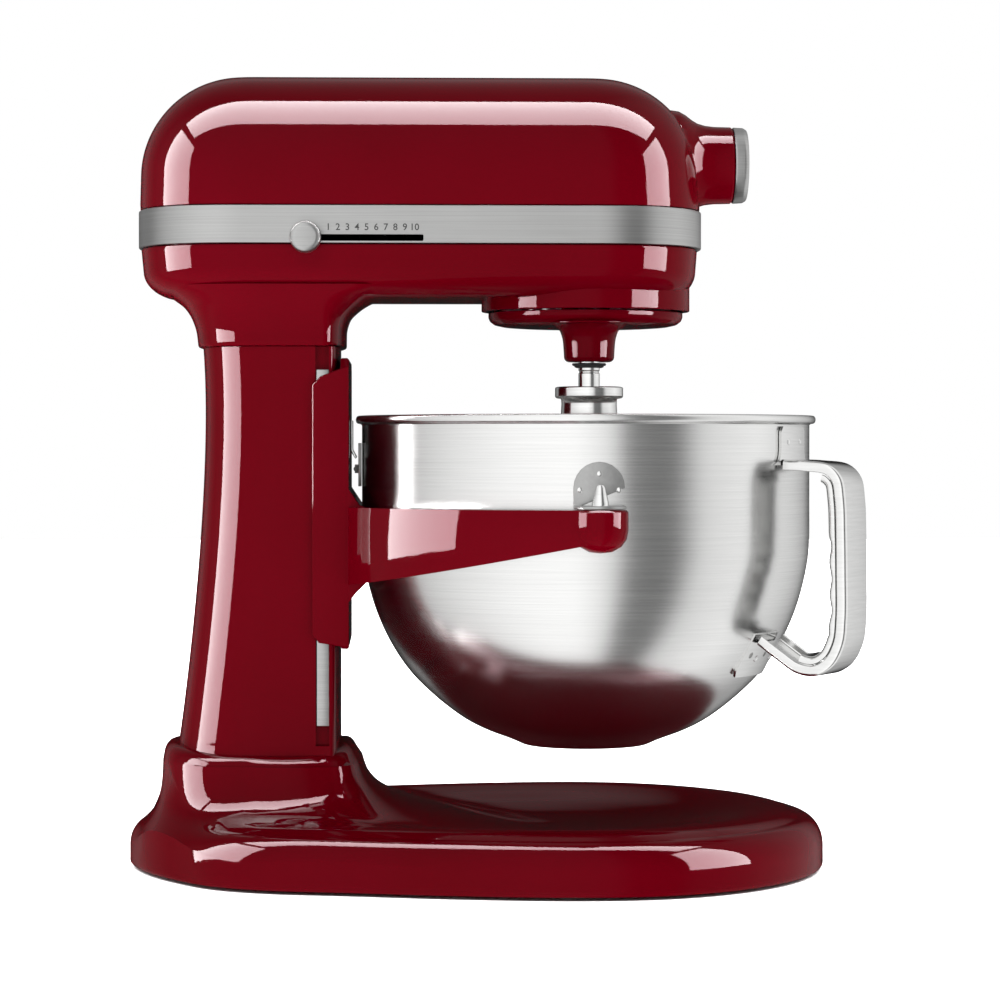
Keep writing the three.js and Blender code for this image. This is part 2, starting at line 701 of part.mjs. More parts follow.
function upperCover() {
  const shell = loft(coverRings(0, BAND_TOP + GAP, 9));
  const hub = turned([
    [0, 60], [HUB_RADIUS + 9, 60], [HUB_RADIUS + 9, 112 - 2], [HUB_RADIUS + 3.5, 116],
    [HUB_RADIUS + 1, 119.5], [HUB_RADIUS + 0.3, 124], [HUB_RADIUS, HUB_FRONT - 0.6],
    [HUB_RADIUS - 0.6, HUB_FRONT], [0, HUB_FRONT],
  ], 'x', [0, 0, HUB_Z], 24);
  const inner = loft(coverRings(HEAD_WALL, BAND_TOP - 4, 5));
  const solid = toSolid(shell).add(toSolid(common(hub, block(80, 150, -60, 60, BAND_TOP + GAP, 410))));
  const hollow = toSolid(inner);
  const sleeveWall = toSolid(sleeve(HUB_RADIUS, HUB_BORE, 100, HUB_FRONT - 0.3, 'x', [0, 0, HUB_Z], 24));
  const bore = toSolid(rod(HUB_BORE, 60, HUB_FRONT + 5, 'x', [0, 0, HUB_Z], 24));
  const knobHole = toSolid(rod(3.4, 0, 40, 'y', [HUB_FRONT - 9, 0, HUB_Z], 12));
  return fromSolid(solid.subtract(hollow).add(sleeveWall).subtract(bore).subtract(knobHole));
}

function trimBand() {
  const outward = BAND_PROUD;
  const inward = BAND_THICK - BAND_PROUD;
  const layers = [
    [0, outward], [BAND_HEIGHT, outward], [BAND_HEIGHT, -inward], [0, -inward],
  ];
  const rings = layers.map(([z, out]) => at(
    headPlan(HEAD_REAR, HEAD_FRONT, HEAD_HALF_WIDTH, -out, 8), BAND_BOTTOM + z));
  const slot = plate(rounded(
    LEVER_X - 4, LEVER_X + LEVER_TRAVEL + 5, BAND_BOTTOM + 1.1, BAND_BOTTOM + 1.1 + SLOT_HEIGHT, 0.6),
  'xz', -80, -50);
  return cut(loft(rings, true), slot);
}

add(mixer, 'head_lower_housing', lowerHousing(), enamel);
add(mixer, 'head_upper_cover', upperCover(), enamel);
add(mixer, 'trim_band', trimBand(), brushed);

// ---------------------------------------------------------------- planetary drive

const driveAt = [DRIVE_X, 0, 0];
const agitatorAt = [DRIVE_X, AGITATOR_Y, 0];
const OUTWARD = -Math.PI / 2; // the agitator sits on the -Y side of the planetary

function ringGear() {
  const shape = new THREE.Shape().absarc(0, 0, RING_PITCH + 4.8 - GAP, 0, TURN, false);
  const spaces = toothed(RING_TEETH, RING_MODULE, -0.5, 0.95, 0.75);
  shape.holes.push(polygon(polar(spaces, OUTWARD).reverse()));
  const geometry = new THREE.ExtrudeGeometry(shape, {
    depth: 11, bevelEnabled: false, curveSegments: 14,
  });
  return clean(geometry.translate(DRIVE_X, 0, 298));
}

function planetaryHousing() {
  const top = BOSS_BOTTOM - 0.6;
  const low = PLANET_BOTTOM;
  const disc = turned([
    [CENTRE_SHAFT + GAP, low], [PLANET_RADIUS - 9, low], [PLANET_RADIUS - 3, low + 1.6],
    [PLANET_RADIUS, low + 4.6], [PLANET_RADIUS, top], [14, top], [14, 309], [CENTRE_SHAFT + GAP, 309],
    [CENTRE_SHAFT + GAP, low],
  ], 'z', driveAt, 28);
  const tube = turned([
    [0, top - 2], [17.5, top - 3], [17.2, low + 0.5], [15.2, low - 3],
    [BOSS_SHAFT_RADIUS, low - 10], [BOSS_SHAFT_RADIUS - 0.2, 270.2], [BOSS_SHAFT_RADIUS - 1.6, 268.4],
    [0, 268.4],
  ], 'z', agitatorAt, 20);
  return cut(join(disc, tube), rod(AGITATOR_SHAFT + RUN, 260, 300, 'z', agitatorAt, 14));
}

add(mixer, 'ring_gear', ringGear(), gearSteel);
add(mixer, 'planetary_housing', planetaryHousing(), enamel);

const agitatorProfile = [
  [0, 239], [AGITATOR_SHAFT - 1, 239], [AGITATOR_SHAFT, 240], [AGITATOR_SHAFT, 308.8], [0, 308.8],
];
const PIN_Z = 246;
const agitatorShaft = cut(
  turned(agitatorProfile, 'z', agitatorAt, 20),
  rod(1.8 + GAP, -20, 20, 'x', [DRIVE_X, AGITATOR_Y, PIN_Z], 12));
add(mixer, 'agitator_shaft', agitatorShaft, steel);

const planetPinion = cut(
  spurGear(PLANET_TEETH, RING_MODULE, 9.5, 0, OUTWARD).translate(DRIVE_X, AGITATOR_Y, 298.5),
  rod(AGITATOR_SHAFT + GAP, 290, 320, 'z', agitatorAt, 20));
add(mixer, 'planet_pinion', planetPinion, gearSteel);

const washer = sleeve(9, AGITATOR_SHAFT + GAP, 265.2, 267.9, 'z', agitatorAt, 20);
add(mixer, 'seal_washer', washer, rubber);

// ---------------------------------------------------------------- flat beater

const COLLAR_Z = 255.5; // top of the beater collar

function beaterCollar() {
  const collar = turned([
    [AGITATOR_SHAFT + GAP, COLLAR_Z], [17, COLLAR_Z], [17.85, COLLAR_Z - 0.8],
    [17.85, COLLAR_Z - 5.2], [17, COLLAR_Z - 6], [14.75, COLLAR_Z - 6.3], [15, COLLAR_Z - 18],
    [AGITATOR_SHAFT + GAP, COLLAR_Z - 18], [AGITATOR_SHAFT + GAP, COLLAR_Z],
  ], 'z', agitatorAt, 18);
  const slot = block(DRIVE_X - 12.5, DRIVE_X + 12.5, AGITATOR_Y - 2.6, AGITATOR_Y + 2.6, 243, 248.5);
  return cut(collar, slot);
}

function mirrored(points) {
  return points.map(([x, z]) => [-x, z]).reverse();
}

function beaterBlade() {
  const reach = BOWL_RADIUS - BOWL_WALL + AGITATOR_Y - 24; // half width inside the bowl wall
  const low = BOWL_BOTTOM_Z + 16;
  const side = [
    [0, low], [0.3 * reach, low + 3], [0.55 * reach, low + 12], [0.76 * reach, low + 25],
    [0.93 * reach, low + 43], [reach, low + 63], [reach, low + 95], [0.88 * reach, low + 116],
    [0.56 * reach, low + 134], [14, low + 147], [14.5, 237],
  ];
  const inner = reach - 9;
  const upper = [
    [6, low + 70], [inner, low + 76], [inner, low + 93], [inner - 7, low + 110],
    [inner - 25, low + 126], [6, low + 139],
  ];
  const lower = [
    [6, low + 10], [0.32 * inner, low + 13], [0.58 * inner, low + 22], [0.79 * inner, low + 34],
    [0.94 * inner, low + 48], [inner, low + 66], [6, low + 60],
  ];
  const shape = polygon([...side, ...mirrored(side.slice(1))]);
  for (const hole of [upper, lower]) {
    shape.holes.push(polygon(hole));
    shape.holes.push(polygon(mirrored(hole)));
  }
  return plate(shape, 'xz', -4.5, 4.5).translate(DRIVE_X, AGITATOR_Y, 0);
}

add(mixer, 'beater_collar', beaterCollar(), steel);
add(mixer, 'flat_beater', beaterBlade(), coated);
add(mixer, 'agitator_pin', rod(1.8, -11, 11, 'x', [DRIVE_X, AGITATOR_Y, PIN_Z], 12), gearSteel);

// ---------------------------------------------------------------- gear train

const spurAngle = Math.atan2(IDLER_Y, IDLER_X - DRIVE_X);
const idlerAt = [IDLER_X, IDLER_Y, 0];

function centreShaft() {
  const gear = mitreGear(BEVEL_TEETH, BEVEL_MODULE, 0, 8).translate(DRIVE_X, 0, HUB_Z);
  return join(rod(CENTRE_SHAFT, 289, HUB_Z - BEVEL_PITCH - 6, 'z', driveAt, 20), gear);
}

function idlerShaft() {
  const turn = spurAngle + Math.PI + Math.PI / SPUR_PINION;
  const pinion = spurGear(SPUR_PINION, SPUR_MODULE, 12, 0, turn).translate(IDLER_X, IDLER_Y, 320.5);
  return join(rod(5, 315, MOTOR_Z + 8, 'z', idlerAt, 18), pinion);
}

// Slant that matches the thread of the worm.
const WHEEL_TWIST = (WORM_MODULE * WORM_STARTS) / (2 * WORM_PITCH_RADIUS) / WHEEL_PITCH;

function wormWheel() {
  const gear = helicalGear(WHEEL_TEETH, WORM_MODULE, 8, WHEEL_TWIST, -Math.PI / 2, 0.7);
  gear.translate(IDLER_X, IDLER_Y, MOTOR_Z);
  return cut(gear, rod(5 + GAP, 300, 400, 'z', idlerAt, 18));
}

function hubDrive() {
  const gear = mitreGear(BEVEL_TEETH, BEVEL_MODULE, Math.PI / BEVEL_TEETH, 8).rotateY(-Math.PI / 2);
  gear.translate(DRIVE_X, 0, HUB_Z);
  const start = DRIVE_X + BEVEL_PITCH + 6;
  const shaft = turned([
    [0, start], [7.5, start], [7.5, 101], [10, 102.5], [10, 124], [0, 124],
  ], 'x', [0, 0, HUB_Z], 20);
  return cut(join(gear, shaft), block(106, 126, -4.8, 4.8, HUB_Z - 4.8, HUB_Z + 4.8));
}

function gearBracket() {
  const shape = polygon([[0, -20], [0, 47], [50, 51], [95, 37], [95, -37], [50, -46]]);
  const sheet = plate(shape, 'xy', 338, 342);
  const posts = [[5, 41], [88, 31], [88, -31], [5, -14]].map(
    ([x, y]) => rod(4.5, 314 + GAP, 339, 'z', [x, y, 0], 10));
  return cut(
    join(sheet, ...posts),
    rod(5 + RUN, 330, 350, 'z', idlerAt, 16),
    rod(CENTRE_SHAFT + RUN, 330, 350, 'z', driveAt, 16));
}

add(mixer, 'centre_shaft', centreShaft(), gearSteel);
const centreGear = spurGear(SPUR_TEETH, SPUR_MODULE, 9, CENTRE_SHAFT + GAP, spurAngle);
add(mixer, 'centre_gear', centreGear.translate(DRIVE_X, 0, 322), gearSteel);
add(mixer, 'centre_bearing', sleeve(11, CENTRE_SHAFT + GAP, 309.9, 316, 'z', driveAt, 20), gearSteel);
add(mixer, 'idler_shaft', idlerShaft(), gearSteel);
add(mixer, 'worm_wheel', wormWheel(), bronze);
add(mixer, 'hub_drive_gear', hubDrive(), gearSteel);
add(mixer, 'hub_bearing', sleeve(HUB_BORE - GAP, 10 + GAP, 104, 114, 'x', [0, 0, HUB_Z], 20), bronze);
add(mixer, 'gear_bracket', gearBracket(), castAlloy);

// ---------------------------------------------------------------- motor

const motorAt = [0, 0, MOTOR_Z];

function statorCore() {
  const ring = sleeve(STATOR_RADIUS, ROTOR_RADIUS + ROTOR_GAP, -124, -62, 'x', motorAt, 28);
  const flats = [-1, 1].map((side) => (side < 0
    ? block(-130, -50, -60, -STATOR_RADIUS + 5, 300, 420)
    : block(-130, -50, STATOR_RADIUS - 5, 60, 300, 420)));
  return cut(ring, ...flats);
}

function rotorShaft() {
  const worm = wormThread(20, 5.2, 7.9).translate(IDLER_X, 0, MOTOR_Z);
  return join(rod(MOTOR_SHAFT, -148, 38, 'x', motorAt, 16), worm);
}

function coolingFan() {
  const hub = turned([
    [MOTOR_SHAFT + GAP, -57], [10, -57], [30, -48.6], [30, -47.4], [MOTOR_SHAFT + GAP, -47.4],
    [MOTOR_SHAFT + GAP, -57],
  ], 'x', motorAt, 20);
  const blades = [];
  for (let i = 0; i < 7; i += 1) {
    blades.push(block(-57, -47.4, -0.8, 0.8, 12, 33).rotateX((TURN * i) / 7).translate(...motorAt));
  }
  return join(hub, ...blades);
}

add(mixer, 'motor_stator', statorCore(), gearSteel);
add(mixer, 'rotor_shaft', rotorShaft(), steel);
const rotorCore = sleeve(ROTOR_RADIUS, MOTOR_SHAFT + GAP, -122, -64, 'x', motorAt, 24);
add(mixer, 'rotor_core', rotorCore, copper);
add(mixer, 'commutator', sleeve(12, MOTOR_SHAFT + GAP, -136, -126, 'x', motorAt, 20), copper);
add(mixer, 'cooling_fan', coolingFan(), blackPlastic);

for (const [name, x, radius] of [['front', -38, 42], ['rear', -146, 30]]) {
  const disc = sleeve(radius, MOTOR_SHAFT + GAP, x, x + 4, 'x', motorAt, 24);
  add(mixer, `motor_bearing_${name}`, disc, castAlloy);
}
for (const [name, side] of [['left', -1], ['right', 1]]) {
  const ends = [side * (12 + RUN), side * 27];
  const holder = block(-135, -127, Math.min(...ends), Math.max(...ends), MOTOR_Z - 4, MOTOR_Z + 4);
  add(mixer, `brush_holder_${name}`, holder, bronze);
}

// ---------------------------------------------------------------- attachment hub

const hubAt = [0, 0, HUB_Z];
const capProfile = [
  [0, HUB_FRONT - 9], [HUB_BORE - 1.4, HUB_FRONT - 9], [HUB_BORE - GAP, HUB_FRONT - 8],
  [HUB_BORE - GAP, HUB_FRONT + GAP], [HUB_RADIUS - 0.4, HUB_FRONT + GAP],
  [HUB_RADIUS - 0.1, HUB_FRONT + 1], [HUB_RADIUS - 0.4, HUB_FRONT + HUB_CAP - 1.9],
  [HUB_RADIUS - 1.9, HUB_FRONT + HUB_CAP], [0, HUB_FRONT + HUB_CAP + 0.3],
];
add(mixer, 'hub_cap', turned(capProfile, 'x', hubAt, 20), brushed);

function hubKnob() {
  const y = HUB_RADIUS + 0.9;
  const knob = turned([
    [0, HUB_BORE + 0.7], [3, HUB_BORE + 0.7], [3, y], [6.5, y], [9, y + 2.5], [9, y + 11],
    [7.6, y + 12.6], [0, y + 13],
  ], 'y', [HUB_FRONT - 9, 0, HUB_Z], 18);
  const flutes = [];
  for (let i = 0; i < 6; i += 1) {
    const a = (TURN * i) / 6;
    const place = [HUB_FRONT - 9 + 10.4 * Math.cos(a), 0, HUB_Z + 10.4 * Math.sin(a)];
    flutes.push(rod(2.6, y + 2, y + 20, 'y', place, 6));
  }
  return cut(knob, ...flutes);
}

add(mixer, 'hub_knob', hubKnob(), blackPlastic);

// ---------------------------------------------------------------- speed lever

const SLOT_Z = BAND_BOTTOM + 1.1 + SLOT_HEIGHT / 2;
const bandFace = -(HEAD_HALF_WIDTH + BAND_PROUD);

function speedLever() {
  const inner = -(HEAD_HALF_WIDTH - 0.6 - LIP_INSET - 3 - 0.9);
  const stem = block(LEVER_X - 2, LEVER_X + 2, bandFace - 1.2, inner + 1, SLOT_Z - 1.2, SLOT_Z + 1.2);
  const shoe = block(LEVER_X - 7, LEVER_X + 7, inner, inner + 2, SLOT_Z - 1.2, SLOT_Z + 13);
  return join(stem, shoe);
}

const knobProfile = [
  [0, bandFace - 9.6], [KNOB_RADIUS - 1.7, bandFace - 9.3], [KNOB_RADIUS - 0.4, bandFace - 8.3],
  [KNOB_RADIUS, bandFace - 7], [KNOB_RADIUS, bandFace - 1.9], [KNOB_RADIUS - 0.5, bandFace - 1.5],
  [0, bandFace - 1.5],
];
add(mixer, 'speed_lever', speedLever(), gearSteel);
add(mixer, 'speed_knob', turned(knobProfile, 'y', [LEVER_X, 0, SLOT_Z], 20), brushed);

function controlBoard() {
  const y = -(HEAD_HALF_WIDTH - 13);
  const sheet = block(-28, 8, y, y + 1.6, 318, 350);
  const parts = [[-22, -12, 322, 332], [-8, 2, 336, 346], [-24, -16, 338, 346]].map(
    ([x0, x1, z0, z1]) => block(x0, x1, y + 1, y + 7, z0, z1));
  return join(sheet, ...parts);
}

add(mixer, 'control_board', controlBoard(), boardGreen);

// ---------------------------------------------------------------- bowl lift lever

const liftAt = [LIFT_X, 0, LIFT_Z];
const CRANK_X = LIFT_X - CRANK * Math.cos(CRANK_ANGLE);
const CRANK_Z = LIFT_Z + CRANK * Math.sin(CRANK_ANGLE);
const ARM_Y = COLUMN_HALF_WIDTH + 7;

function capsule(x0, z0, r0, x1, z1, r1) {
  const a = Math.atan2(z1 - z0, x1 - x0);
  const shape = new THREE.Shape();
  shape.absarc(x0, z0, r0, a + Math.PI / 2, a + Math.PI * 1.5);
  shape.absarc(x1, z1, r1, a - Math.PI / 2, a + Math.PI / 2);
  return shape;
}

function liftShaft() {
  const bar = rod(8, 0, ARM_Y + 2, 'y', liftAt, 24);
  const crank = plate(capsule(LIFT_X, LIFT_Z, 10, CRANK_X, CRANK_Z, 7), 'xz', -1, 5);
  return join(bar, crank, rod(CRANK_ROLLER, -10.6, 0, 'y', [CRANK_X, 0, CRANK_Z], 16));
}

const leverShape = capsule(LIFT_X, LIFT_Z, 11, LIFT_X, LIFT_Z + LEVER_LENGTH - 22, 6);
const leverArm = cut(
  plate(leverShape, 'xz', ARM_Y, ARM_Y + 5, 0.8), rod(8 + GAP, 40, ARM_Y + 2 + GAP, 'y', liftAt, 24));
add(mixer, 'lift_shaft', liftShaft(), gearSteel);
add(mixer, 'lift_lever', leverArm, steel);

function liftGrip() {
  const from = LIFT_Z + LEVER_LENGTH - 46;
  const shape = capsule(LIFT_X, from, 8, LIFT_X, LIFT_Z + LEVER_LENGTH - 8, 9);
  const body = plate(shape, 'xz', ARM_Y - 3, ARM_Y + 9, 2.4);
  const pocket = capsule(LIFT_X, from - 20, 11, LIFT_X, LIFT_Z + LEVER_LENGTH - 22, 6 + GAP);
  return cut(body, plate(pocket, 'xz', ARM_Y - GAP, ARM_Y + 5 + GAP));
}

add(mixer, 'lift_grip', liftGrip(), blackPlastic);

// ---------------------------------------------------------------- lifting yoke

function liftYoke() {
  const wide = WING_Y + 4;
  const sheet = plate(polygon([
    [-wide, PLATE_BOTTOM + 5], [-wide + 5, PLATE_BOTTOM], [wide - 5, PLATE_BOTTOM],
    [wide, PLATE_BOTTOM + 5], [wide, PLATE_TOP - 6], [wide - 6, PLATE_TOP],
    [-wide + 6, PLATE_TOP], [-wide, PLATE_TOP - 6],
  ]), 'yz', PLATE_BACK, PLATE_FRONT, 0.8);
  const wing = polygon([
    [RAIL_BACK - 1.8, 127], [RAIL_BACK + 1.5, 122.5], [PLATE_FRONT, PLATE_BOTTOM + 1],
    [PLATE_FRONT, PLATE_TOP - 4], [RAIL_BACK + 2.5, 260.5], [RAIL_BACK - 1.8, 256],
  ]);
  const wings = [[-wide, -WING_Y], [WING_Y, wide]].map(([a, b]) => plate(wing, 'xz', a, b, 0.5));
  const ring = sleeve(YOKE_OUTER, YOKE_INNER, 140, YOKE_TOP, 'z', driveAt, 60);
  const halfRing = cut(
    ring, block(DRIVE_X, DRIVE_X + 200, -200, 200, 100, 300), block(-200, PLATE_BACK, -200, 200, 100, 300));
  const taper = polygon([
    [-200, YOKE_TOP - 65.2], [DRIVE_X + 60, YOKE_TOP - 4.7], [DRIVE_X + 60, 100], [-200, 100],
  ]);
  const gusset = plate(polygon([
    [PLATE_BACK + 1, 218], [PLATE_BACK + 3.5, 203], [-62, YOKE_TOP + 1], [-58.5, YOKE_TOP],
    [-58.5, 153.5], [-64, 148], [PLATE_BACK + 3, 142], [PLATE_BACK + 1, 132],
  ]), 'xz', -wide, wide);
  const balls = [-1, 1].map((side) => turned([
    [0, YOKE_TOP - 21.6], [6, YOKE_TOP - 20.8], [10.5, YOKE_TOP - 18.2], [13.2, YOKE_TOP - 14.4],
    [YOKE_BALL, YOKE_TOP - 10], [YOKE_BALL, YOKE_TOP - 1], [YOKE_BALL - 1, YOKE_TOP], [0, YOKE_TOP],
  ], 'z', [DRIVE_X, side * YOKE_PIN_Y, 0], 20));
  const lugTop = CRANK_Z + 10.5;
  const lug = block(CRANK_X - 17, PLATE_BACK + 1, -11, -2.6, CRANK_Z - 10.5, lugTop);
  const slide = block(
    CRANK_X - (CRANK * (1 - Math.cos(CRANK_ANGLE)) + CRANK_ROLLER + 1), CRANK_X + CRANK_ROLLER + 1,
    -20, 5, CRANK_Z - CRANK_ROLLER - 1.5, CRANK_Z + CRANK_ROLLER + 1.5);
  const pinHoles = [-1, 1].map(
    (side) => rod(3 + GAP, YOKE_TOP - 11, 300, 'z', [DRIVE_X, side * YOKE_PIN_Y, 0], 14));
  const arms = cut(halfRing, plate(taper, 'xz', -200, 200));
  return cut(
    join(arms, sheet, ...wings, cut(gusset, rod(YOKE_INNER, 100, 300, 'z', driveAt, 60)), ...balls, lug),
    slide, rod(BOWL_RADIUS + 2, 100, 300, 'z', driveAt, 60), ...pinHoles);
}

add(mixer, 'lift_yoke', liftYoke(), enamel);

for (const [name, side] of [['left', -1], ['right', 1]]) {
  const top = YOKE_TOP;
  const profile = [
    [0, top - 10.5], [3, top - 10.5], [3, top + GAP], [4.5, top + GAP], [4.5, top + 3.4],
    [2.4, top + 11.4], [1.6, top + 12.4], [0, top + 12.7],
  ];
  const place = [DRIVE_X, side * YOKE_PIN_Y, 0];
  add(mixer, `yoke_pin_${name}`, turned(profile, 'z', place, 16), steel);
}

const latchShape = polygon([
  [PLATE_FRONT + GAP, 238], [PLATE_FRONT + 1.5, 238], [PLATE_FRONT + 1.5, 222.5],
  [PLATE_FRONT + LATCH_REACH, 218.6], [PLATE_FRONT + 2.7, 217.6], [PLATE_FRONT + GAP, 221.6],
]);
add(mixer, 'spring_latch', plate(latchShape, 'xz', -9, 9), steel);

// ---------------------------------------------------------------- bowl

// Outside of the wall as [share of the bowl radius, height above the bottom].
const bowlCurve = [
  [0, 1.6], [0.17, 0.9], [0.27, 0], [0.325, 3], [0.46, 9.3], [0.555, 15.5], [0.69, 28.2],
  [0.795, 41.2], [0.88, 57], [0.94, 73.3], [0.975, 88], [0.995, 101], [1, 112],
];

// The wall moved outwards by an offset, or inwards when it is negative.
function bowlShape(offset) {
  const drop = -Math.abs(offset) * Math.sign(offset || 1);
  const wall = bowlCurve.map(([share, z], i) => [
    share ? share * BOWL_RADIUS + offset : 0,
    BOWL_BOTTOM_Z + z + drop * Math.max(0, 1 - i / 9),
  ]);
  return [...wall, [BOWL_RADIUS + offset, BOWL_RIM_Z - 4.5]];
}

function bowlBody() {
  const outer = bowlShape(0);
  const inner = bowlShape(-BOWL_WALL).slice(0, -1).filter((point, i) => i % 2 === 0 || i > 10);
  const rim = BOWL_RIM_Z;
  const roll = [
    [BOWL_RADIUS + 1.6, rim - 4.4], [BOWL_RADIUS + 3.3, rim - 2.6], [BOWL_RADIUS + 2.4, rim - 0.6],
    [BOWL_RADIUS + 0.6, rim], [BOWL_RADIUS - BOWL_WALL, rim - 2.4],
  ];
  return turned([...outer, ...roll, ...inner.reverse()], 'z', driveAt, 32);
}

function bowlClearance() {
  const points = bowlShape(GAP);
  points[0][0] = 0;
  return turned([...points, [BOWL_RADIUS + GAP, 260], [0, 260]], 'z', driveAt, 32);
}

add(mixer, 'bowl', bowlBody(), bowlSteel);

for (const [name, side] of [['left', -1], ['right', 1]]) {
  const face = BOWL_RADIUS + GAP;
  const span = (a, b) => [Math.min(side * a, side * b), Math.max(side * a, side * b)];
  const low = YOKE_TOP + GAP;
  const arch = new THREE.Shape();
  arch.moveTo(DRIVE_X + 13, low);
  arch.absarc(DRIVE_X, low + 10.5, 13, 0, Math.PI);
  arch.lineTo(DRIVE_X - 13, low);
  const [y0, y1] = span(face, face + 1.5);
  const tongue = new THREE.Shape();
  tongue.moveTo(DRIVE_X - 13, side * face);
  tongue.lineTo(DRIVE_X + 13, side * face);
  tongue.absarc(DRIVE_X, side * (YOKE_PIN_Y - 1), 13, 0, side * Math.PI, side < 0);
  tongue.lineTo(DRIVE_X - 13, side * face);
  const bracket = cut(
    join(plate(arch, 'xz', y0, y1), plate(tongue, 'xy', low, low + 1.7)),
    rod(4.5 + GAP, 180, 200, 'z', [DRIVE_X, side * YOKE_PIN_Y, 0], 16));
  add(mixer, `bowl_bracket_${name}`, bracket, castAlloy);
}

function rearBracket() {
  const x = DRIVE_X - BOWL_RADIUS - GAP;
  const pin = PLATE_FRONT + LATCH_REACH + LATCH_TO_PIN;
  const sheet = block(x - 1.5, x, -12, 12, 203, 226);
  const ears = [-9, 7].map((y) => block(pin - 0.8, x - 1, y, y + 2, 210, 214.5));
  return join(sheet, ...ears, rod(1.5, -9, 9, 'y', [pin, 0, 212.2], 10));
}

add(mixer, 'bowl_rear_bracket', rearBracket(), castAlloy);

// ---------------------------------------------------------------- bowl handle

const gripX = HANDLE_REACH;
const handlePath = new THREE.CatmullRomCurve3([
  [BOWL_RADIUS + 0.9, 217.5], [gripX - 24, 217], [gripX - 10, 215], [gripX - 3.2, 208.5],
  [gripX - 1, 197], [gripX - 0.3, 180], [gripX, 160], [gripX, 136], [gripX - 1.6, 123],
  [gripX - 7.5, 112], [gripX - 17, 106.5], [gripX - 28, 107.5], [gripX - 38, 113.5], [gripX - 50.5, 122],
].map(([r, z]) => new THREE.Vector3(r, 0, z)), false, 'centripetal');

// Sweeps a section of [across, outward] points along part of the handle path.
function strap(section, from, to, steps) {
  const rings = [];
  for (let i = 0; i <= steps; i += 1) {
    const u = from + ((to - from) * i) / steps;
    const p = handlePath.getPointAt(u);
    const t = handlePath.getTangentAt(u);
    rings.push(section(u).map(([across, out]) => [p.x - t.z * out, across, p.z + t.x * out]));
  }
  return loft(rings);
}

function placeHandle(geometry) {
  return geometry.rotateZ(HANDLE_ANGLE).translate(DRIVE_X, 0, 0);
}

const halfGrip = HANDLE_WIDTH / 2;
const outerSection = () => [
  [-halfGrip, -5.5], [-halfGrip, -1], [-halfGrip + 1, 0], [halfGrip - 1, 0], [halfGrip, -1],
  [halfGrip, -5.5], [halfGrip - 1.6, -5.5], [halfGrip - 1.6, -1.7], [-halfGrip + 1.6, -1.7],
  [-halfGrip + 1.6, -5.5],
];

// Finger grooves run along the inner face of the grip.
function innerSection(u) {
  const wave = u > 0.34 && u < 0.66 ? 0.9 * Math.sin(((u - 0.34) / 0.32) * TURN * 1.5) ** 2 : 0;
  const deep = -10.4 + wave;
  const side = halfGrip - 0.8;
  return [
    [-side, -5.9], [-side + 1.5, -5.9], [-side + 1.5, deep + 1.7], [side - 1.5, deep + 1.7],
    [side - 1.5, -5.9], [side, -5.9], [side, deep + 1.2], [side - 1.3, deep], [-side + 1.3, deep],
    [-side, deep + 1.2],
  ];
}

function handleOuter() {
  const face = BOWL_RADIUS + GAP;
  const local = [0, 0, 0];
  const topPad = common(
    sleeve(face + 1.6, face, 206, BOWL_RIM_Z - 6, 'z', local, 48), block(0, 200, -20, 20, 200, 240));
  const lowPad = common(
    turned([
      [BOWL_RADIUS - 23, 107], [BOWL_RADIUS - 21.2, 106.4], [BOWL_RADIUS - 10.3, 126.5],
      [BOWL_RADIUS - 11.9, 127], [BOWL_RADIUS - 23, 107],
    ], 'z', local, 48),
    block(0, 200, -19, 19, 90, 140));
  const grip = join(strap(outerSection, 0, 1, 20), topPad, lowPad);
  return cut(placeHandle(grip), bowlClearance());
}

add(mixer, 'handle_outer', handleOuter(), steel);
add(mixer, 'handle_inner', placeHandle(strap(innerSection, 0.13, 0.86, 22)), steel);

// Origin on the floor, in the symmetry plane, midway along the overall length.
const tip = DRIVE_X + HANDLE_REACH * Math.cos(HANDLE_ANGLE) + (halfGrip - 1) * Math.sin(-HANDLE_ANGLE);
mixer.position.x = (BASE_REAR - tip) / 2;

export default mixer;
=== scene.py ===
import json
import math

import bmesh
import bpy
import numpy as np
from mathutils import Matrix, Vector

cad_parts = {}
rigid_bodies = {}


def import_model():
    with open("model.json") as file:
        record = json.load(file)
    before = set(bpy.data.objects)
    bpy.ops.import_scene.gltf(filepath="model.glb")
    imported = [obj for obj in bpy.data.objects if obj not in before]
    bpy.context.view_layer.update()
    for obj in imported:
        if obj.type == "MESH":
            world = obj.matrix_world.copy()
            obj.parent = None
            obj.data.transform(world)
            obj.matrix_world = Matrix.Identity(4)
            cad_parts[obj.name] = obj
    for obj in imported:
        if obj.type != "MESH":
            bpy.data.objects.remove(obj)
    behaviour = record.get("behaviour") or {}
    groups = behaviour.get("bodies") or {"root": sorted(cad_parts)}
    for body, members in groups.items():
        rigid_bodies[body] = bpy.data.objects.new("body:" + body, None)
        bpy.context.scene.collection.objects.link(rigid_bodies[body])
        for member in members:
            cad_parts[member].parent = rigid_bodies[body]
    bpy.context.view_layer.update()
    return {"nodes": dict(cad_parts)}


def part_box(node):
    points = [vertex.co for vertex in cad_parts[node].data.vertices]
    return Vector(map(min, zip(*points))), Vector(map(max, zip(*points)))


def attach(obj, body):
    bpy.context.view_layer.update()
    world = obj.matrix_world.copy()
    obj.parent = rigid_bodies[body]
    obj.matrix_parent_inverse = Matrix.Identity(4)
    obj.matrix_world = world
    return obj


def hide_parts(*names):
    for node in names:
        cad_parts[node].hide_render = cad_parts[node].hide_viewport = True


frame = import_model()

# Lengths below are millimetres; meshes are scaled to metres when they are made.
# The front of the mixer is +X, its speed lever is on the -Y side, the floor is Z = 0.


def mm(node):
    """Lowest and highest corner of a CAD node."""
    low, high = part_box(node)
    return np.array(low) * 1000, np.array(high) * 1000


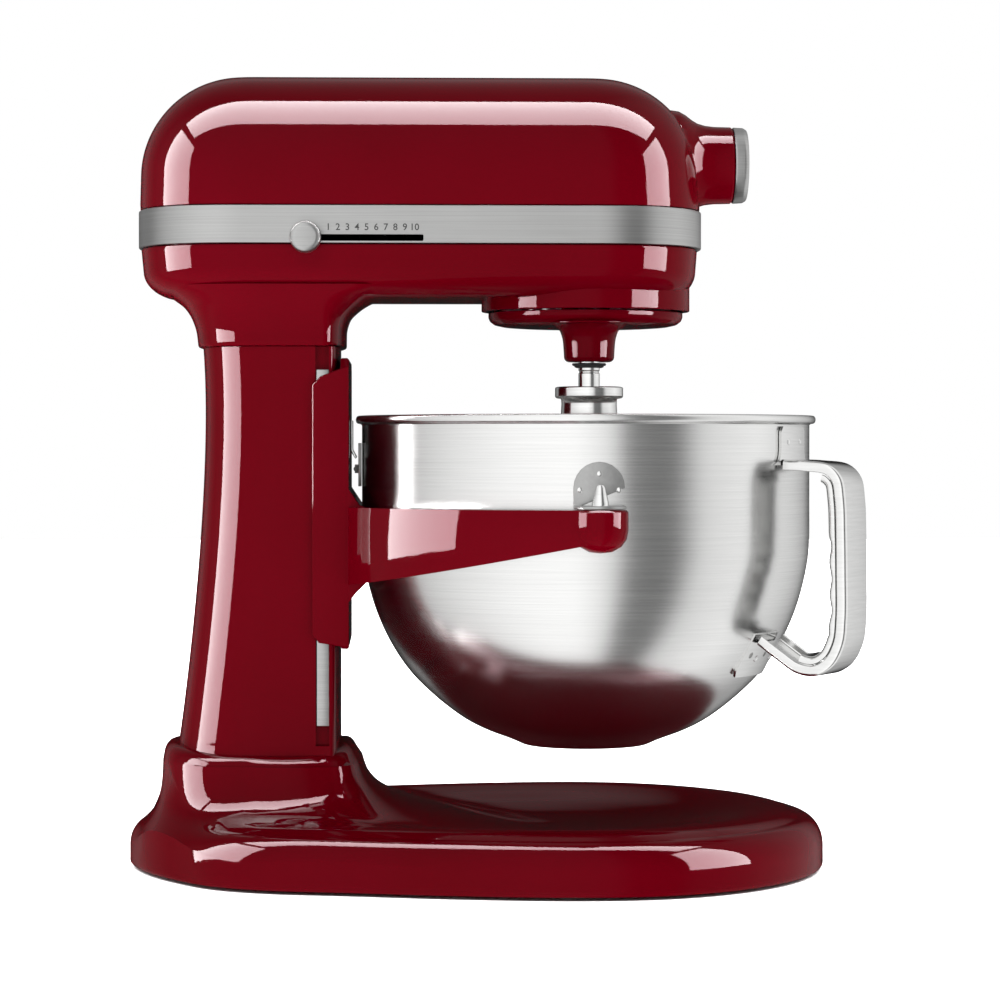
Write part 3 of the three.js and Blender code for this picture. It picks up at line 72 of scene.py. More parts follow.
def middle(node):
    low, high = mm(node)
    return (low + high) / 2


# ------------------------------------------------------------------ sizes taken from the CAD

BAND_PROUD = 0.7  # how far the band stands out from the head
LOWER_HEAD = 26.7  # height of the head below its band
RIM_PROUD = 3.3  # how far the bowl's rolled rim stands out from its wall
BOWL_WALL = 1.2
FIT = 0.35  # gap between pieces that touch
DISH_FORWARD = 20  # middle of the base's dish ahead of the base's own middle

band_low, band_high = mm("trim_band")
base_low, base_high = mm("base_casting")
bowl_low, bowl_high = mm("bowl")
cap_low, cap_high = mm("hub_cap")
knob_low, knob_high = mm("speed_knob")
cover_high = mm("head_upper_cover")[1]
column_high = mm("column_casting")[1]

DRIVE = middle("centre_bearing")[0]  # axis of the planetary and the bowl
SHIFT = DRIVE - 58.3  # from the lofts' own zero to the frame's
HEAD_REAR = band_low[0] + BAND_PROUD
HEAD_FRONT = band_high[0] - BAND_PROUD
HEAD_HALF = band_high[1] - BAND_PROUD
BAND_LOW, BAND_TOP = band_low[2], band_high[2]
HEAD_TOP = cover_high[2]
HEAD_FLOOR = BAND_LOW - LOWER_HEAD
HUB_Z = middle("hub_cap")[2]
HUB_RADIUS = (cap_high[2] - cap_low[2]) / 2 + 0.1
HUB_FRONT = cover_high[0]
BASE_CENTRE = middle("base_casting")[0]
BASE_MIDDLE = BASE_CENTRE + DISH_FORWARD
BASE_LENGTH = (base_high[0] - base_low[0]) / 2
BASE_HALF = base_high[1]
COLUMN_HALF = column_high[1]
COLUMN_FRONT = column_high[0]
COLUMN_TOP = column_high[2]
COLLAR_TOP = 66
BOWL_RIM, BOWL_LOW = bowl_high[2], bowl_low[2]
BOWL_RADIUS = bowl_high[1] - RIM_PROUD
AGITATOR_Y = middle("agitator_shaft")[1]
KNOB_X, _, KNOB_Z = middle("speed_knob")
KNOB_RADIUS = (knob_high[2] - knob_low[2]) / 2
SLOT_LENGTH = 60.5  # speed slot, from the knob's axis to its far end


# ------------------------------------------------------------------ materials

def tree(name):
    """New material with its nodes, links, shader and object coordinates."""
    material = bpy.data.materials.new(name)
    material.use_nodes = True
    nodes, links = material.node_tree.nodes, material.node_tree.links
    shader = nodes["Principled BSDF"]
    place = nodes.new("ShaderNodeTexCoord")
    return material, nodes, links, shader, place.outputs["Object"]


def stretched(nodes, links, coords, scale):
    mapping = nodes.new("ShaderNodeMapping")
    mapping.inputs["Scale"].default_value = scale
    links.new(coords, mapping.inputs["Vector"])
    return mapping.outputs["Vector"]


def noise(nodes, links, vector, scale, detail=2.0, roughness=0.5):
    texture = nodes.new("ShaderNodeTexNoise")
    texture.inputs["Scale"].default_value = scale
    texture.inputs["Detail"].default_value = detail
    texture.inputs["Roughness"].default_value = roughness
    links.new(vector, texture.inputs["Vector"])
    return texture.outputs["Fac"]


def ramp(nodes, links, value, low, high, start=0.3, end=0.7):
    node = nodes.new("ShaderNodeValToRGB")
    node.color_ramp.elements[0].position = start
    node.color_ramp.elements[1].position = end
    node.color_ramp.elements[0].color = (*low, 1)
    node.color_ramp.elements[1].color = (*high, 1)
    links.new(value, node.inputs["Fac"])
    return node.outputs["Color"]


def spread(nodes, links, value, low, high):
    node = nodes.new("ShaderNodeMapRange")
    node.inputs["From Min"].default_value = 0.3
    node.inputs["From Max"].default_value = 0.7
    node.inputs["To Min"].default_value = low
    node.inputs["To Max"].default_value = high
    links.new(value, node.inputs["Value"])
    return node.outputs["Result"]


def bumped(nodes, links, height, strength, distance):
    node = nodes.new("ShaderNodeBump")
    node.inputs["Strength"].default_value = strength
    node.inputs["Distance"].default_value = distance
    links.new(height, node.inputs["Height"])
    return node.outputs["Normal"]


def enamel_material():
    material, nodes, links, shader, coords = tree("enamel")
    drift = noise(nodes, links, coords, 9, 3)
    colour = ramp(nodes, links, drift, (0.067, 0.0, 0.002), (0.077, 0.0, 0.0028))
    links.new(colour, shader.inputs["Base Color"])
    fine = noise(nodes, links, coords, 260, 1.5)
    links.new(spread(nodes, links, fine, 0.02, 0.045), shader.inputs["Roughness"])
    links.new(bumped(nodes, links, fine, 0.012, 0.0004), shader.inputs["Normal"])
    shader.inputs["IOR"].default_value = 1.12
    shader.inputs["Specular Tint"].default_value = (1.0, 0.68, 0.74, 1.0)
    return material


def metal_material(name, low, high, rough, scale, bump):
    """Metal whose fine lines run across the axis with the largest scale."""
    material, nodes, links, shader, coords = tree(name)
    lines = noise(nodes, links, stretched(nodes, links, coords, scale), 1.0, 4, 0.6)
    cloud = noise(nodes, links, coords, 22, 3)
    links.new(ramp(nodes, links, lines, low, high, 0.25, 0.75), shader.inputs["Base Color"])
    mixed = nodes.new("ShaderNodeMath")
    mixed.operation = "MULTIPLY_ADD"
    mixed.inputs[1].default_value = 0.5
    links.new(lines, mixed.inputs[0])
    half = nodes.new("ShaderNodeMath")
    half.operation = "MULTIPLY"
    half.inputs[1].default_value = 0.5
    links.new(cloud, half.inputs[0])
    links.new(half.outputs[0], mixed.inputs[2])
    links.new(spread(nodes, links, mixed.outputs[0], *rough), shader.inputs["Roughness"])
    links.new(bumped(nodes, links, lines, bump, 0.0002), shader.inputs["Normal"])
    shader.inputs["Metallic"].default_value = 1.0
    return material


def plain_material(name, low, high, rough, scale, bump):
    material, nodes, links, shader, coords = tree(name)
    grain = noise(nodes, links, coords, scale, 4)
    links.new(ramp(nodes, links, grain, low, high), shader.inputs["Base Color"])
    links.new(spread(nodes, links, grain, *rough), shader.inputs["Roughness"])
    links.new(bumped(nodes, links, grain, bump, 0.0003), shader.inputs["Normal"])
    return material


def grey(value):
    return (value, value, value * 0.99)


# name: low and high colour, roughness range, scale of the grain along X, Y and Z, bump
METALS = {
    "brushed_trim": (grey(0.33), grey(0.44), (0.3, 0.44), (9, 9, 2600), 0.25),
    "bowl_steel": (grey(0.6), grey(0.67), (0.19, 0.27), (14, 14, 1500), 0.06),
    "polished_steel": (grey(0.62), grey(0.7), (0.1, 0.17), (40, 40, 900), 0.05),
    "cast_alloy": (grey(0.33), grey(0.4), (0.4, 0.5), (300, 300, 300), 0.1),
    "gear_steel": (grey(0.3), grey(0.42), (0.3, 0.42), (160, 160, 500), 0.1),
    "bronze": ((0.38, 0.22, 0.08), (0.5, 0.3, 0.12), (0.3, 0.4), (200, 200, 200), 0.1),
    "copper": ((0.45, 0.18, 0.08), (0.62, 0.27, 0.13), (0.3, 0.42), (900, 60, 60), 0.3),
}
# name: low and high colour, roughness range, scale of the grain, bump
PLAINS = {
    "rubber": ((0.012, 0.012, 0.012), (0.02, 0.02, 0.02), (0.6, 0.8), 500, 0.3),
    "black_plastic": ((0.011, 0.011, 0.012), (0.018, 0.018, 0.019), (0.3, 0.42), 900, 0.15),
    "circuit_board": ((0.01, 0.09, 0.03), (0.02, 0.13, 0.05), (0.4, 0.55), 160, 0.1),
    "beater_coating": ((0.62, 0.61, 0.58), (0.7, 0.69, 0.66), (0.3, 0.42), 300, 0.1),
}
finish = {"red_enamel": enamel_material()}
finish.update({name: metal_material(name, *values) for name, values in METALS.items()})
finish.update({name: plain_material(name, *values) for name, values in PLAINS.items()})
dial_ink = plain_material("dial_ink", (0.02, 0.02, 0.02), (0.035, 0.035, 0.035), (0.5, 0.6), 900, 0.05)

NODES_OF = {
    "red_enamel": ["base_casting", "column_casting", "head_lower_housing", "head_upper_cover",
                   "planetary_housing", "lift_yoke"],
    "brushed_trim": ["trim_band", "guide_rail_left", "guide_rail_right", "hub_cap", "speed_knob"],
    "bowl_steel": ["bowl"],
    "polished_steel": ["agitator_shaft", "beater_collar", "yoke_pin_left", "yoke_pin_right", "spring_latch",
                       "handle_outer", "handle_inner", "lift_lever", "rotor_shaft"],
    "cast_alloy": ["bowl_bracket_left", "bowl_bracket_right", "bowl_rear_bracket", "gear_bracket",
                   "motor_bearing_front", "motor_bearing_rear"],
    "rubber": ["foot_1", "foot_2", "foot_3", "foot_4", "foot_5", "cord_gland", "seal_washer"],
    "black_plastic": ["hub_knob", "lift_grip", "cooling_fan"],
    "bronze": ["worm_wheel", "hub_bearing", "brush_holder_left", "brush_holder_right"],
    "copper": ["rotor_core", "commutator"],
    "circuit_board": ["control_board"],
    "beater_coating": ["flat_beater"],
}
slot_of = {name: "gear_steel" for name in frame["nodes"]}
for slot, names in NODES_OF.items():
    for name in names:
        slot_of[name] = slot
for name, node in frame["nodes"].items():
    for index in range(len(node.data.materials)):
        node.data.materials[index] = finish[slot_of[name]]


# ------------------------------------------------------------------ mesh helpers

def smoothed(mesh, angle=35):
    mesh.shade_smooth()
    mesh.set_sharp_from_angle(angle=math.radians(angle))


def build(name, points, faces, angle=35):
    """Object from points in millimetres, with its faces turned outwards."""
    mesh = bpy.data.meshes.new(name)
    mesh.from_pydata([tuple(p) for p in np.asarray(points, float) / 1000], [], faces)
    work = bmesh.new()
    work.from_mesh(mesh)
    bmesh.ops.remove_doubles(work, verts=work.verts, dist=2e-6)
    bmesh.ops.dissolve_degenerate(work, edges=work.edges, dist=1e-6)
    bmesh.ops.recalc_face_normals(work, faces=work.faces)
    work.to_mesh(mesh)
    work.free()
    smoothed(mesh, angle)
    piece = bpy.data.objects.new(name, mesh)
    bpy.context.scene.collection.objects.link(piece)
    return piece


def loft(name, rings, looped=False, angle=35):
    """Skin over rings with the same number of points."""
    rings = [np.asarray(ring, float) for ring in rings]
    count = len(rings[0])
    points = np.concatenate(rings)
    faces = []
    last = len(rings) if looped else len(rings) - 1
    for i in range(last):
        low, high = i * count, ((i + 1) % len(rings)) * count
        for j in range(count):
            k = (j + 1) % count
            faces.append((low + j, low + k, high + k, high + j))
    if not looped:
        faces.append(tuple(range(count))[::-1])
        faces.append(tuple(range((len(rings) - 1) * count, len(rings) * count)))
    return build(name, points, faces, angle)


def corners(points, radius, steps=4, closed=False):
    """Rounds the corners of a polyline."""
    points = [np.asarray(p, float) for p in points]
    out = []
    count = len(points)
    for i, p in enumerate(points):
        if not closed and i in (0, count - 1):
            out.append(p)
            continue
        a, c = points[i - 1] - p, points[(i + 1) % count] - p
        la, lc = np.linalg.norm(a), np.linalg.norm(c)
        reach = min(radius, 0.46 * la, 0.46 * lc)
        first, last = p + a / la * reach, p + c / lc * reach
        for s in range(steps + 1):
            t = s / steps
            out.append((1 - t) ** 2 * first + 2 * t * (1 - t) * p + t * t * last)
    return out


AXES = {
    "z": lambda r, h, c, s: (r * c, r * s, h),
    "x": lambda r, h, c, s: (h, r * c, r * s),
    "y": lambda r, h, c, s: (r * c, h, r * s),
}


def lathe(name, profile, axis, centre, segments=96, angle=35, closed=False):
    """Turned body; the profile is (radius, distance along the axis)."""
    rings = []
    for i in range(segments):
        a = 2 * math.pi * i / segments
        rings.append([
            np.add(AXES[axis](r, h, math.cos(a), math.sin(a)), centre) for r, h in profile])
    count = len(profile)
    faces = []
    for i in range(segments):
        low, high = i * count, ((i + 1) % segments) * count
        for j in range(count if closed else count - 1):
            k = (j + 1) % count
            faces.append((low + j, low + k, high + k, high + j))
    return build(name, np.concatenate(rings), faces, angle)


def prism(name, outline, plane, low, high):
    """Plate with a straight outline, between two offsets from its plane."""
    order = {
        "xz": lambda u, v, w: (u, w, v),
        "yz": lambda u, v, w: (w, u, v),
    }
    rings = [[order[plane](u, v, w) for u, v in outline] for w in (low, high)]
    return loft(name, rings)


def applied(piece):
    """Replaces the mesh with the result of the modifiers."""
    graph = bpy.context.evaluated_depsgraph_get()
    mesh = bpy.data.meshes.new_from_object(piece.evaluated_get(graph), depsgraph=graph)
    piece.modifiers.clear()
    piece.data = mesh
    return piece


def boolean(piece, tool, operation="UNION"):
    """Joins or cuts the piece with the tool, which is used up."""
    modifier = piece.modifiers.new("shape", "BOOLEAN")
    modifier.operation = operation
    modifier.object = tool
    modifier.solver = "EXACT"
    applied(piece)
    bpy.data.objects.remove(tool)
    smoothed(piece.data)
    return piece


def bevel(piece, width, segments=3, limit=35, angle=40):
    modifier = piece.modifiers.new("edge", "BEVEL")
    modifier.width = width / 1000
    modifier.segments = segments
    modifier.limit_method = "ANGLE"
    modifier.angle_limit = math.radians(limit)
    applied(piece)
    smoothed(piece.data, angle)
    return piece


def show(piece, slot, body, *nodes, material=None):
    """Gives a piece its finish and its body, in place of the CAD nodes named."""
    piece.data.materials.clear()
    piece.data.materials.append(material or finish[slot])
    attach(piece, body)
    if nodes:
        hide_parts(*nodes)
    return piece


def refine(node, body, width, segments=2, limit=35, angle=40):
    """The CAD node's own shape with its edges broken and its curves shaded smooth."""
    mesh = frame["nodes"][node].data.copy()
    piece = bpy.data.objects.new(node + "_finished", mesh)
    bpy.context.scene.collection.objects.link(piece)
    work = bmesh.new()
    work.from_mesh(mesh)
    bmesh.ops.remove_doubles(work, verts=work.verts, dist=3e-6)
    bmesh.ops.dissolve_limit(
        work, angle_limit=math.radians(1.0), verts=work.verts, edges=work.edges)
    work.to_mesh(mesh)
    work.free()
    if width:
        bevel(piece, width, segments, limit, angle)
    else:
        smoothed(piece.data, angle)
    return show(piece, slot_of[node], body, node)


def pchip(xs, ys, x):
    """Monotone cubic through points, one column of values or several."""
    xs = np.asarray(xs, float)
    ys = np.asarray(ys, float)
    single = ys.ndim == 1
    if single:
        ys = ys[:, None]
    h = np.diff(xs)[:, None]
    slope = np.diff(ys, axis=0) / h
    m = np.zeros_like(ys)
    m[0], m[-1] = slope[0], slope[-1]
    inner = slope[:-1] * slope[1:]
    with np.errstate(divide="ignore", invalid="ignore"):
        mean = 2 * inner / (slope[:-1] + slope[1:])
    m[1:-1] = np.where(inner > 0, mean, 0)
    x = np.atleast_1d(np.asarray(x, float))
    i = np.clip(np.searchsorted(xs, x) - 1, 0, len(xs) - 2)
    t = ((x - xs[i]) / (xs[i + 1] - xs[i]))[:, None]
    d = h[i]
    out = ((2 * t ** 3 - 3 * t ** 2 + 1) * ys[i] + (t ** 3 - 2 * t ** 2 + t) * d * m[i]
           + (3 * t ** 2 - 2 * t ** 3) * ys[i + 1] + (t ** 3 - t ** 2) * d * m[i + 1])
    return out[:, 0] if single else out


def catmull(points, closed, count):
    """Evenly spaced points along a smooth curve through the given ones."""
    p = np.asarray(points, float)
    n = len(p)
    dense = []
    spans = n if closed else n - 1
    for i in range(spans):
        if closed:
            q = [p[(i + k) % n] for k in (-1, 0, 1, 2)]
        else:
            q = [p[i - 1] if i else 2 * p[0] - p[1], p[i], p[i + 1],
                 p[i + 2] if i + 2 < n else 2 * p[-1] - p[-2]]
        k = [0]
        for a, b in zip(q, q[1:]):
            k.append(k[-1] + max(1e-6, np.linalg.norm(b - a) ** 0.5))
        for t in np.linspace(k[1], k[2], 40, endpoint=False):
            a1 = (k[1] - t) / (k[1] - k[0]) * q[0] + (t - k[0]) / (k[1] - k[0]) * q[1]
            a2 = (k[2] - t) / (k[2] - k[1]) * q[1] + (t - k[1]) / (k[2] - k[1]) * q[2]
            a3 = (k[3] - t) / (k[3] - k[2]) * q[2] + (t - k[2]) / (k[3] - k[2]) * q[3]
            b1 = (k[2] - t) / (k[2] - k[0]) * a1 + (t - k[0]) / (k[2] - k[0]) * a2
            b2 = (k[3] - t) / (k[3] - k[1]) * a2 + (t - k[1]) / (k[3] - k[1]) * a3
            dense.append((k[2] - t) / (k[2] - k[1]) * b1 + (t - k[1]) / (k[2] - k[1]) * b2)
    if not closed:
        dense.append(p[-1])
    dense = np.array(dense)
    loop = np.vstack([dense, dense[:1]]) if closed else dense
    length = np.concatenate([[0], np.cumsum(np.linalg.norm(np.diff(loop, axis=0), axis=1))])
    at = np.linspace(0, length[-1], count, endpoint=not closed)
    return np.column_stack([np.interp(at, length, loop[:, k]) for k in range(p.shape[1])])


def stadium(rear, front, half, rear_round, front_round, squareness=2.3, steps=36):
    """Plan outline with straight sides and rounded ends."""
    a = np.linspace(-math.pi / 2, math.pi / 2, steps + 1)
    c = np.clip(np.cos(a), 0, 1) ** (2 / squareness)
    s = np.sign(np.sin(a)) * np.abs(np.sin(a)) ** (2 / squareness)
    nose = np.stack([front - front_round * (1 - c), half * s], 1)
    tail = np.stack([rear + rear_round * (1 - c), -half * s], 1)
    return np.concatenate([nose, tail])


def level(plan, height):
    """Ring at one height, or at a height that depends on x and y."""
    height = height(plan[:, 0], plan[:, 1]) if callable(height) else np.full(len(plan), float(height))
    return np.column_stack([plan, height])


# ------------------------------------------------------------------ base

def base_outline(count):
    rear = [
        (45, 1), (-10, 0.95), (-66, 0.857), (-111, 0.78),
        (-137, 0.675), (-158, 0.49), (-173, 0.3), (-182.5, 0.11),
    ]
    rear = [(x * BASE_LENGTH / 185 if x < 0 else x, w * BASE_HALF) for x, w in rear]
    quarter = [math.pi / 2 * i / 8 for i in range(1, 8)]
    nose = [(60 + (BASE_LENGTH - 60) * math.cos(a), BASE_HALF * math.sin(a)) for a in quarter]
    half = nose + rear
    loop = [(BASE_LENGTH, 0)] + half + [(-BASE_LENGTH, 0)] + [(x, -y) for x, y in reversed(half)]
    ring = catmull(loop, True, count)
    ring[:, 0] += BASE_CENTRE
    return ring


OUTLINE = base_outline(220)
# Height of the base's top by its share of the way from the middle to the outline.
SCALES = [0, 0.2, 0.36, 0.54, 0.69, 0.8, 0.87, 0.925, 0.966, 0.992, 1]
LEVELS = [20.5, 20.5, 21.3, 24.9, 29.8, 32, 31.3, 28.5, 24, 18.5, 13]


def base_ring(scale, height):
    """The base's outline drawn in towards its middle."""
    plan = OUTLINE.copy()
    plan[:, 0] = BASE_MIDDLE + (plan[:, 0] - BASE_MIDDLE) * scale
    plan[:, 1] *= scale
    return level(plan, height)


def base_share(plan):
    """How far out of the base's middle each point lies, 1 on the outline."""
    centred = OUTLINE - [BASE_MIDDLE, 0]
    angle = np.arctan2(centred[:, 1], centred[:, 0])
    radius = np.hypot(centred[:, 0], centred[:, 1])
    order = np.argsort(angle)
    here = np.arctan2(plan[:, 1], plan[:, 0] - BASE_MIDDLE)
    reach = np.interp(here, angle[order], radius[order], period=2 * math.pi)
    return np.hypot(plan[:, 0] - BASE_MIDDLE, plan[:, 1]) / reach


def dipped(height, fade=1.0):
    """Height of the column's foot, which drops towards the sides."""
    return lambda x, y: height - 6 * fade * (y / (COLUMN_HALF + 6)) ** 2


def column_rear(z):
    """Rear face of the leaning column."""
    t = (z - COLLAR_TOP) / (COLUMN_TOP - COLLAR_TOP)
    return SHIFT - 158.8 + 29.5 * t - 12.8 * t ** 2 - 3.2 * t ** 6


def base_piece():
    w = COLUMN_HALF
    rear = column_rear(COLLAR_TOP)
    top = COLLAR_TOP + 2.5
    foot = stadium(SHIFT - 167, SHIFT - 61, w + 6, 47, 16, 2.5, 60)
    centre = np.array([SHIFT - 114, 0])
    rays = OUTLINE - centre
    bearing = np.arctan2(rays[:, 1], rays[:, 0])
    collar = foot - centre
    collar_bearing = np.arctan2(collar[:, 1], collar[:, 0])
    order = np.argsort(collar_bearing)
    collar_reach = np.hypot(collar[:, 0], collar[:, 1])
    reach = np.interp(bearing, collar_bearing[order], collar_reach[order], period=2 * math.pi)
    unit = np.column_stack([np.cos(bearing), np.sin(bearing)])
    inside = centre + unit * reach[:, None]
    outside = base_ring(0.925, 0)[:, :2]
    distance = np.linalg.norm(outside - inside, axis=1)
    # Width of the flare at the foot of the collar: narrow behind, wide in front.
    flare = pchip([-1, -0.55, 0.1, 0.75, 1], [6, 14, 25, 42, 46], unit[:, 0])

    def lifted(plan, ground):
        along = np.einsum("ij,ij->i", plan - inside, unit)
        rise = pchip(
            [0, 1.5, 6, 14, 24, 38, 70], [58.5, 50.5, 42, 35.5, 30.5, 24, 8],
            np.clip(along * 25 / flare, 0, 70))
        blend = np.maximum(6 - np.abs(rise - ground), 0) / 6
        return np.maximum(rise, ground) + blend ** 2 * 1.5

    rings = []

    def around(rear_x, front_x, half, height):
        plan = stadium(rear_x, front_x, half, 46, 15, 2.5, 60) - centre
        angle = np.arctan2(plan[:, 1], plan[:, 0])
        sort = np.argsort(angle)
        radius = np.hypot(plan[:, 0], plan[:, 1])
        far = np.interp(bearing, angle[sort], radius[sort], period=2 * math.pi)
        rings.append(level(centre + unit * far[:, None], height))

    # Rounded lip of the collar, from inside the column's foot outwards: rear, front, half width, height.
    for back, front, side, height in (
            (4, -74.2, -5, -6), (3, -73.4, -3.4, -2.5), (1.6, -72.6, -2, -0.6), (0, -71.2, -0.6, 0),
            (-2.6, -69, 1.6, 0), (-4.8, -67, 3.4, -0.9), (-6.3, -65.4, 4.8, -2.6), (-7.3, -64.2, 5.6, -4.8)):
        around(rear + back, SHIFT + front, w + side, dipped(top + height))
    for t in np.linspace(0, 1, 46):
        eased = t * t * (3 - 2 * t)
        plan = inside + (outside - inside) * eased
        ground = pchip(SCALES, LEVELS, base_share(plan))
        rings.append(level(plan, lambda x, y, g=ground, p=plan: lifted(p, g)))
    for t in np.linspace(0.12, 1, 9):
        share = 0.925 + 0.075 * math.sin(t * math.pi / 2)
        plan = base_ring(share, 0)[:, :2]
        ground = 13 + 15.5 * (1 - math.sin(t * math.pi / 2) ** 2.0) ** 0.5 * np.ones(len(plan))
        rings.append(level(plan, lambda x, y, g=ground, p=plan: lifted(p, g)))
    rings += [base_ring(1, h) for h in (9, 4.2)]
    rings += [base_ring(0.9985, 2.9), base_ring(0.995, 2), base_ring(0.972, 2), base_ring(0.966, 2.8)]
    rings += [base_ring(0.965, 12), base_ring(0.93, 18.5), base_ring(0.86, 24.5), base_ring(0.78, 26.3)]
    rings += [base_ring(s, h) for s, h in ((0.6, 21.3), (0.45, 17), (0.25, 16), (0.1, 16))]
    return loft("base_shell", rings)


show(base_piece(), "red_enamel", "stand", "base_casting")


# ------------------------------------------------------------------ column

RAIL_BACK, RAIL_FRONT = COLUMN_FRONT - 12.3, COLUMN_FRONT - 5.3


def column_piece():
    def ring(z, height, depth):
        half = COLUMN_HALF
        plan = stadium(column_rear(z), COLUMN_FRONT, half, 42, 4.5, 2.5, 30)
        nose, tail = plan[:31], plan[31:]
        notch = [
            (RAIL_FRONT, half), (RAIL_FRONT - 0.01, half - depth),
            (RAIL_BACK + 0.01, half - depth), (RAIL_BACK, half),
        ]
        other = [(x, -y) for x, y in reversed(notch)]
        return level(np.concatenate([nose, notch, tail, other]), height)

    rings = []
    for z in np.linspace(COLLAR_TOP, 72, 4):
        fade = 1 - (z - COLLAR_TOP) / 30
        rings.append(ring(z, dipped(z + 0.4, fade), 0.001))
    rings.append(ring(72, dipped(72.5, 0.8), 3.6))
    for z in np.linspace(76, COLUMN_TOP, 34):
        fade = max(0, 1 - (z - COLLAR_TOP) / 30)
        rings.append(ring(z, dipped(z, fade), 3.6))
    body = loft("column_shell", rings)
    window = [(-13, 116), (13, 116), (13, 186), (-13, 186)]
    slot = prism("slot", window, "yz", COLUMN_FRONT - 12, COLUMN_FRONT + 5)
    return boolean(body, slot, "DIFFERENCE")


show(column_piece(), "red_enamel", "stand", "column_casting")


# ------------------------------------------------------------------ head

def head_plan(rear, front, half, inset=0.0, steps=40):
    return stadium(rear + inset, front - inset, half - inset, 56 - inset, 58 - inset, 2.35, steps)


def neck_piece():
    """Flare between the column and the head's underside."""
    # height: rear, front, half width, rear rounding, front rounding
    keys = [276.35, 284, 291, 297.2, 302, 307, 312]
    values = [
        (-147.9, -69.3, 53.5, 44, 12), (-148.8, -69.2, 53.8, 44, 12), (-151, -67.5, 55, 46, 14),
        (-154.9, -61.5, 57, 50, 20), (-161, -53, 59, 54, 26), (-168, -38, 60.5, 56, 30),
        (-172, -30, 61, 56, 30),
    ]
    rings = []
    rear, front, half, *rounds = values[0]
    for inset, height in ((1.2, keys[0]), (0.3, keys[0] + 0.4)):
        plan = stadium(rear + inset + SHIFT, front - inset + SHIFT, half - inset, *rounds, 2.5)
        rings.append(level(plan, height))
    for z in np.linspace(277.6, 308, 24):
        rear, front, half, *rounds = pchip(keys, values, z)[0]
        rings.append(level(stadium(rear + SHIFT, front + SHIFT, half, *rounds, 2.5), z))
    return loft("neck", rings)


def lower_piece():
    rear, front, half = HEAD_REAR + 0.7, HEAD_FRONT - 1.5, HEAD_HALF - 0.6
    rings = []
    for a in np.linspace(0, math.pi / 2, 13):
        inward = 1 - math.sin(a)
        rings.append(level(
            head_plan(rear + 1 + 20 * inward, front - 0.8 - 18 * inward, half - 0.7 - 21 * inward),
            HEAD_FLOOR + 15 * (1 - math.cos(a))))
    for t in np.linspace(0.15, 1, 5):
        rings.append(level(head_plan(rear + 1 - t, front - 0.8 + 0.8 * t, half - 0.7 + 0.7 * t),
                           HEAD_FLOOR + 15 + (BAND_LOW - 1.2 - HEAD_FLOOR - 15) * t))
    rings.append(level(head_plan(rear + 0.2, front - 0.2, half - 0.2), BAND_LOW - 0.6))
    rings.append(level(head_plan(rear + 0.8, front - 0.8, half - 0.8), BAND_LOW - 0.35))
    rings.append(level(head_plan(rear, front, half, 3.05), BAND_LOW - 0.35))
    rings.append(level(head_plan(rear, front, half, 3.05), BAND_TOP + 1.2))
    rings.append(level(head_plan(rear, front, half, 6.05), BAND_TOP + 1.2))
    rings.append(level(head_plan(rear, front, half, 6.05), HEAD_FLOOR + 22))
    rings.append(level(head_plan(rear + 6, front - 3, half - 4, 4), HEAD_FLOOR + 13))
    rings.append(level(head_plan(rear + 20, front - 14, half - 16, 4), HEAD_FLOOR + 7.4))
    shell = loft("head_lower_shell", rings)
    low = HEAD_FLOOR - 6
    boss = lathe("boss", corners([
        (0, low), (55.6, low), (55.6, HEAD_FLOOR + 9), (54.6, HEAD_FLOOR + 11),
        (30, HEAD_FLOOR + 11), (0, HEAD_FLOOR + 10.8)], 0.7), "z", (DRIVE, 0, 0), 128)
    pocket = lathe("pocket", [(0, 280), (52.05, 280), (52.05, 309.5), (0, 309.5)], "z", (DRIVE, 0, 0), 96)
    shell = boolean(shell, neck_piece())
    shell = boolean(shell, boss)
    shell = boolean(shell, pocket, "DIFFERENCE")
    rear, front = KNOB_X - 4, KNOB_X + SLOT_LENGTH
    low, high = BAND_LOW + 0.8, BAND_LOW + 5
    gap = prism("gap", [(rear, low), (front, low), (front, high), (rear, high)], "xz", -80, -50)
    return boolean(shell, gap, "DIFFERENCE")


show(lower_piece(), "red_enamel", "stand", "head_lower_housing")


def cover_ring(a, inset, height):
    """Section of the domed cover at an angle up its side, drawn in by an inset."""
    full = HEAD_TOP - BAND_TOP
    half = (HEAD_HALF - inset) * max(0.02, math.cos(a) ** 0.92)
    lift = math.sin(a) * full

    def bend(radius):
        up = max(0.0, lift - (full - radius))
        return radius - math.sqrt(max(0.0, radius ** 2 - up ** 2))

    rear = HEAD_REAR + inset + 1.8 * lift / full + bend(53)
    front = HEAD_FRONT - inset - 3.3 * lift / full - bend(52)
    round_ = max(0.02, math.cos(a) ** 0.6)
    plan = stadium(rear, front, half, (56 - inset) * round_, (58 - inset) * round_, 2.35, 40)
    return level(plan, height)


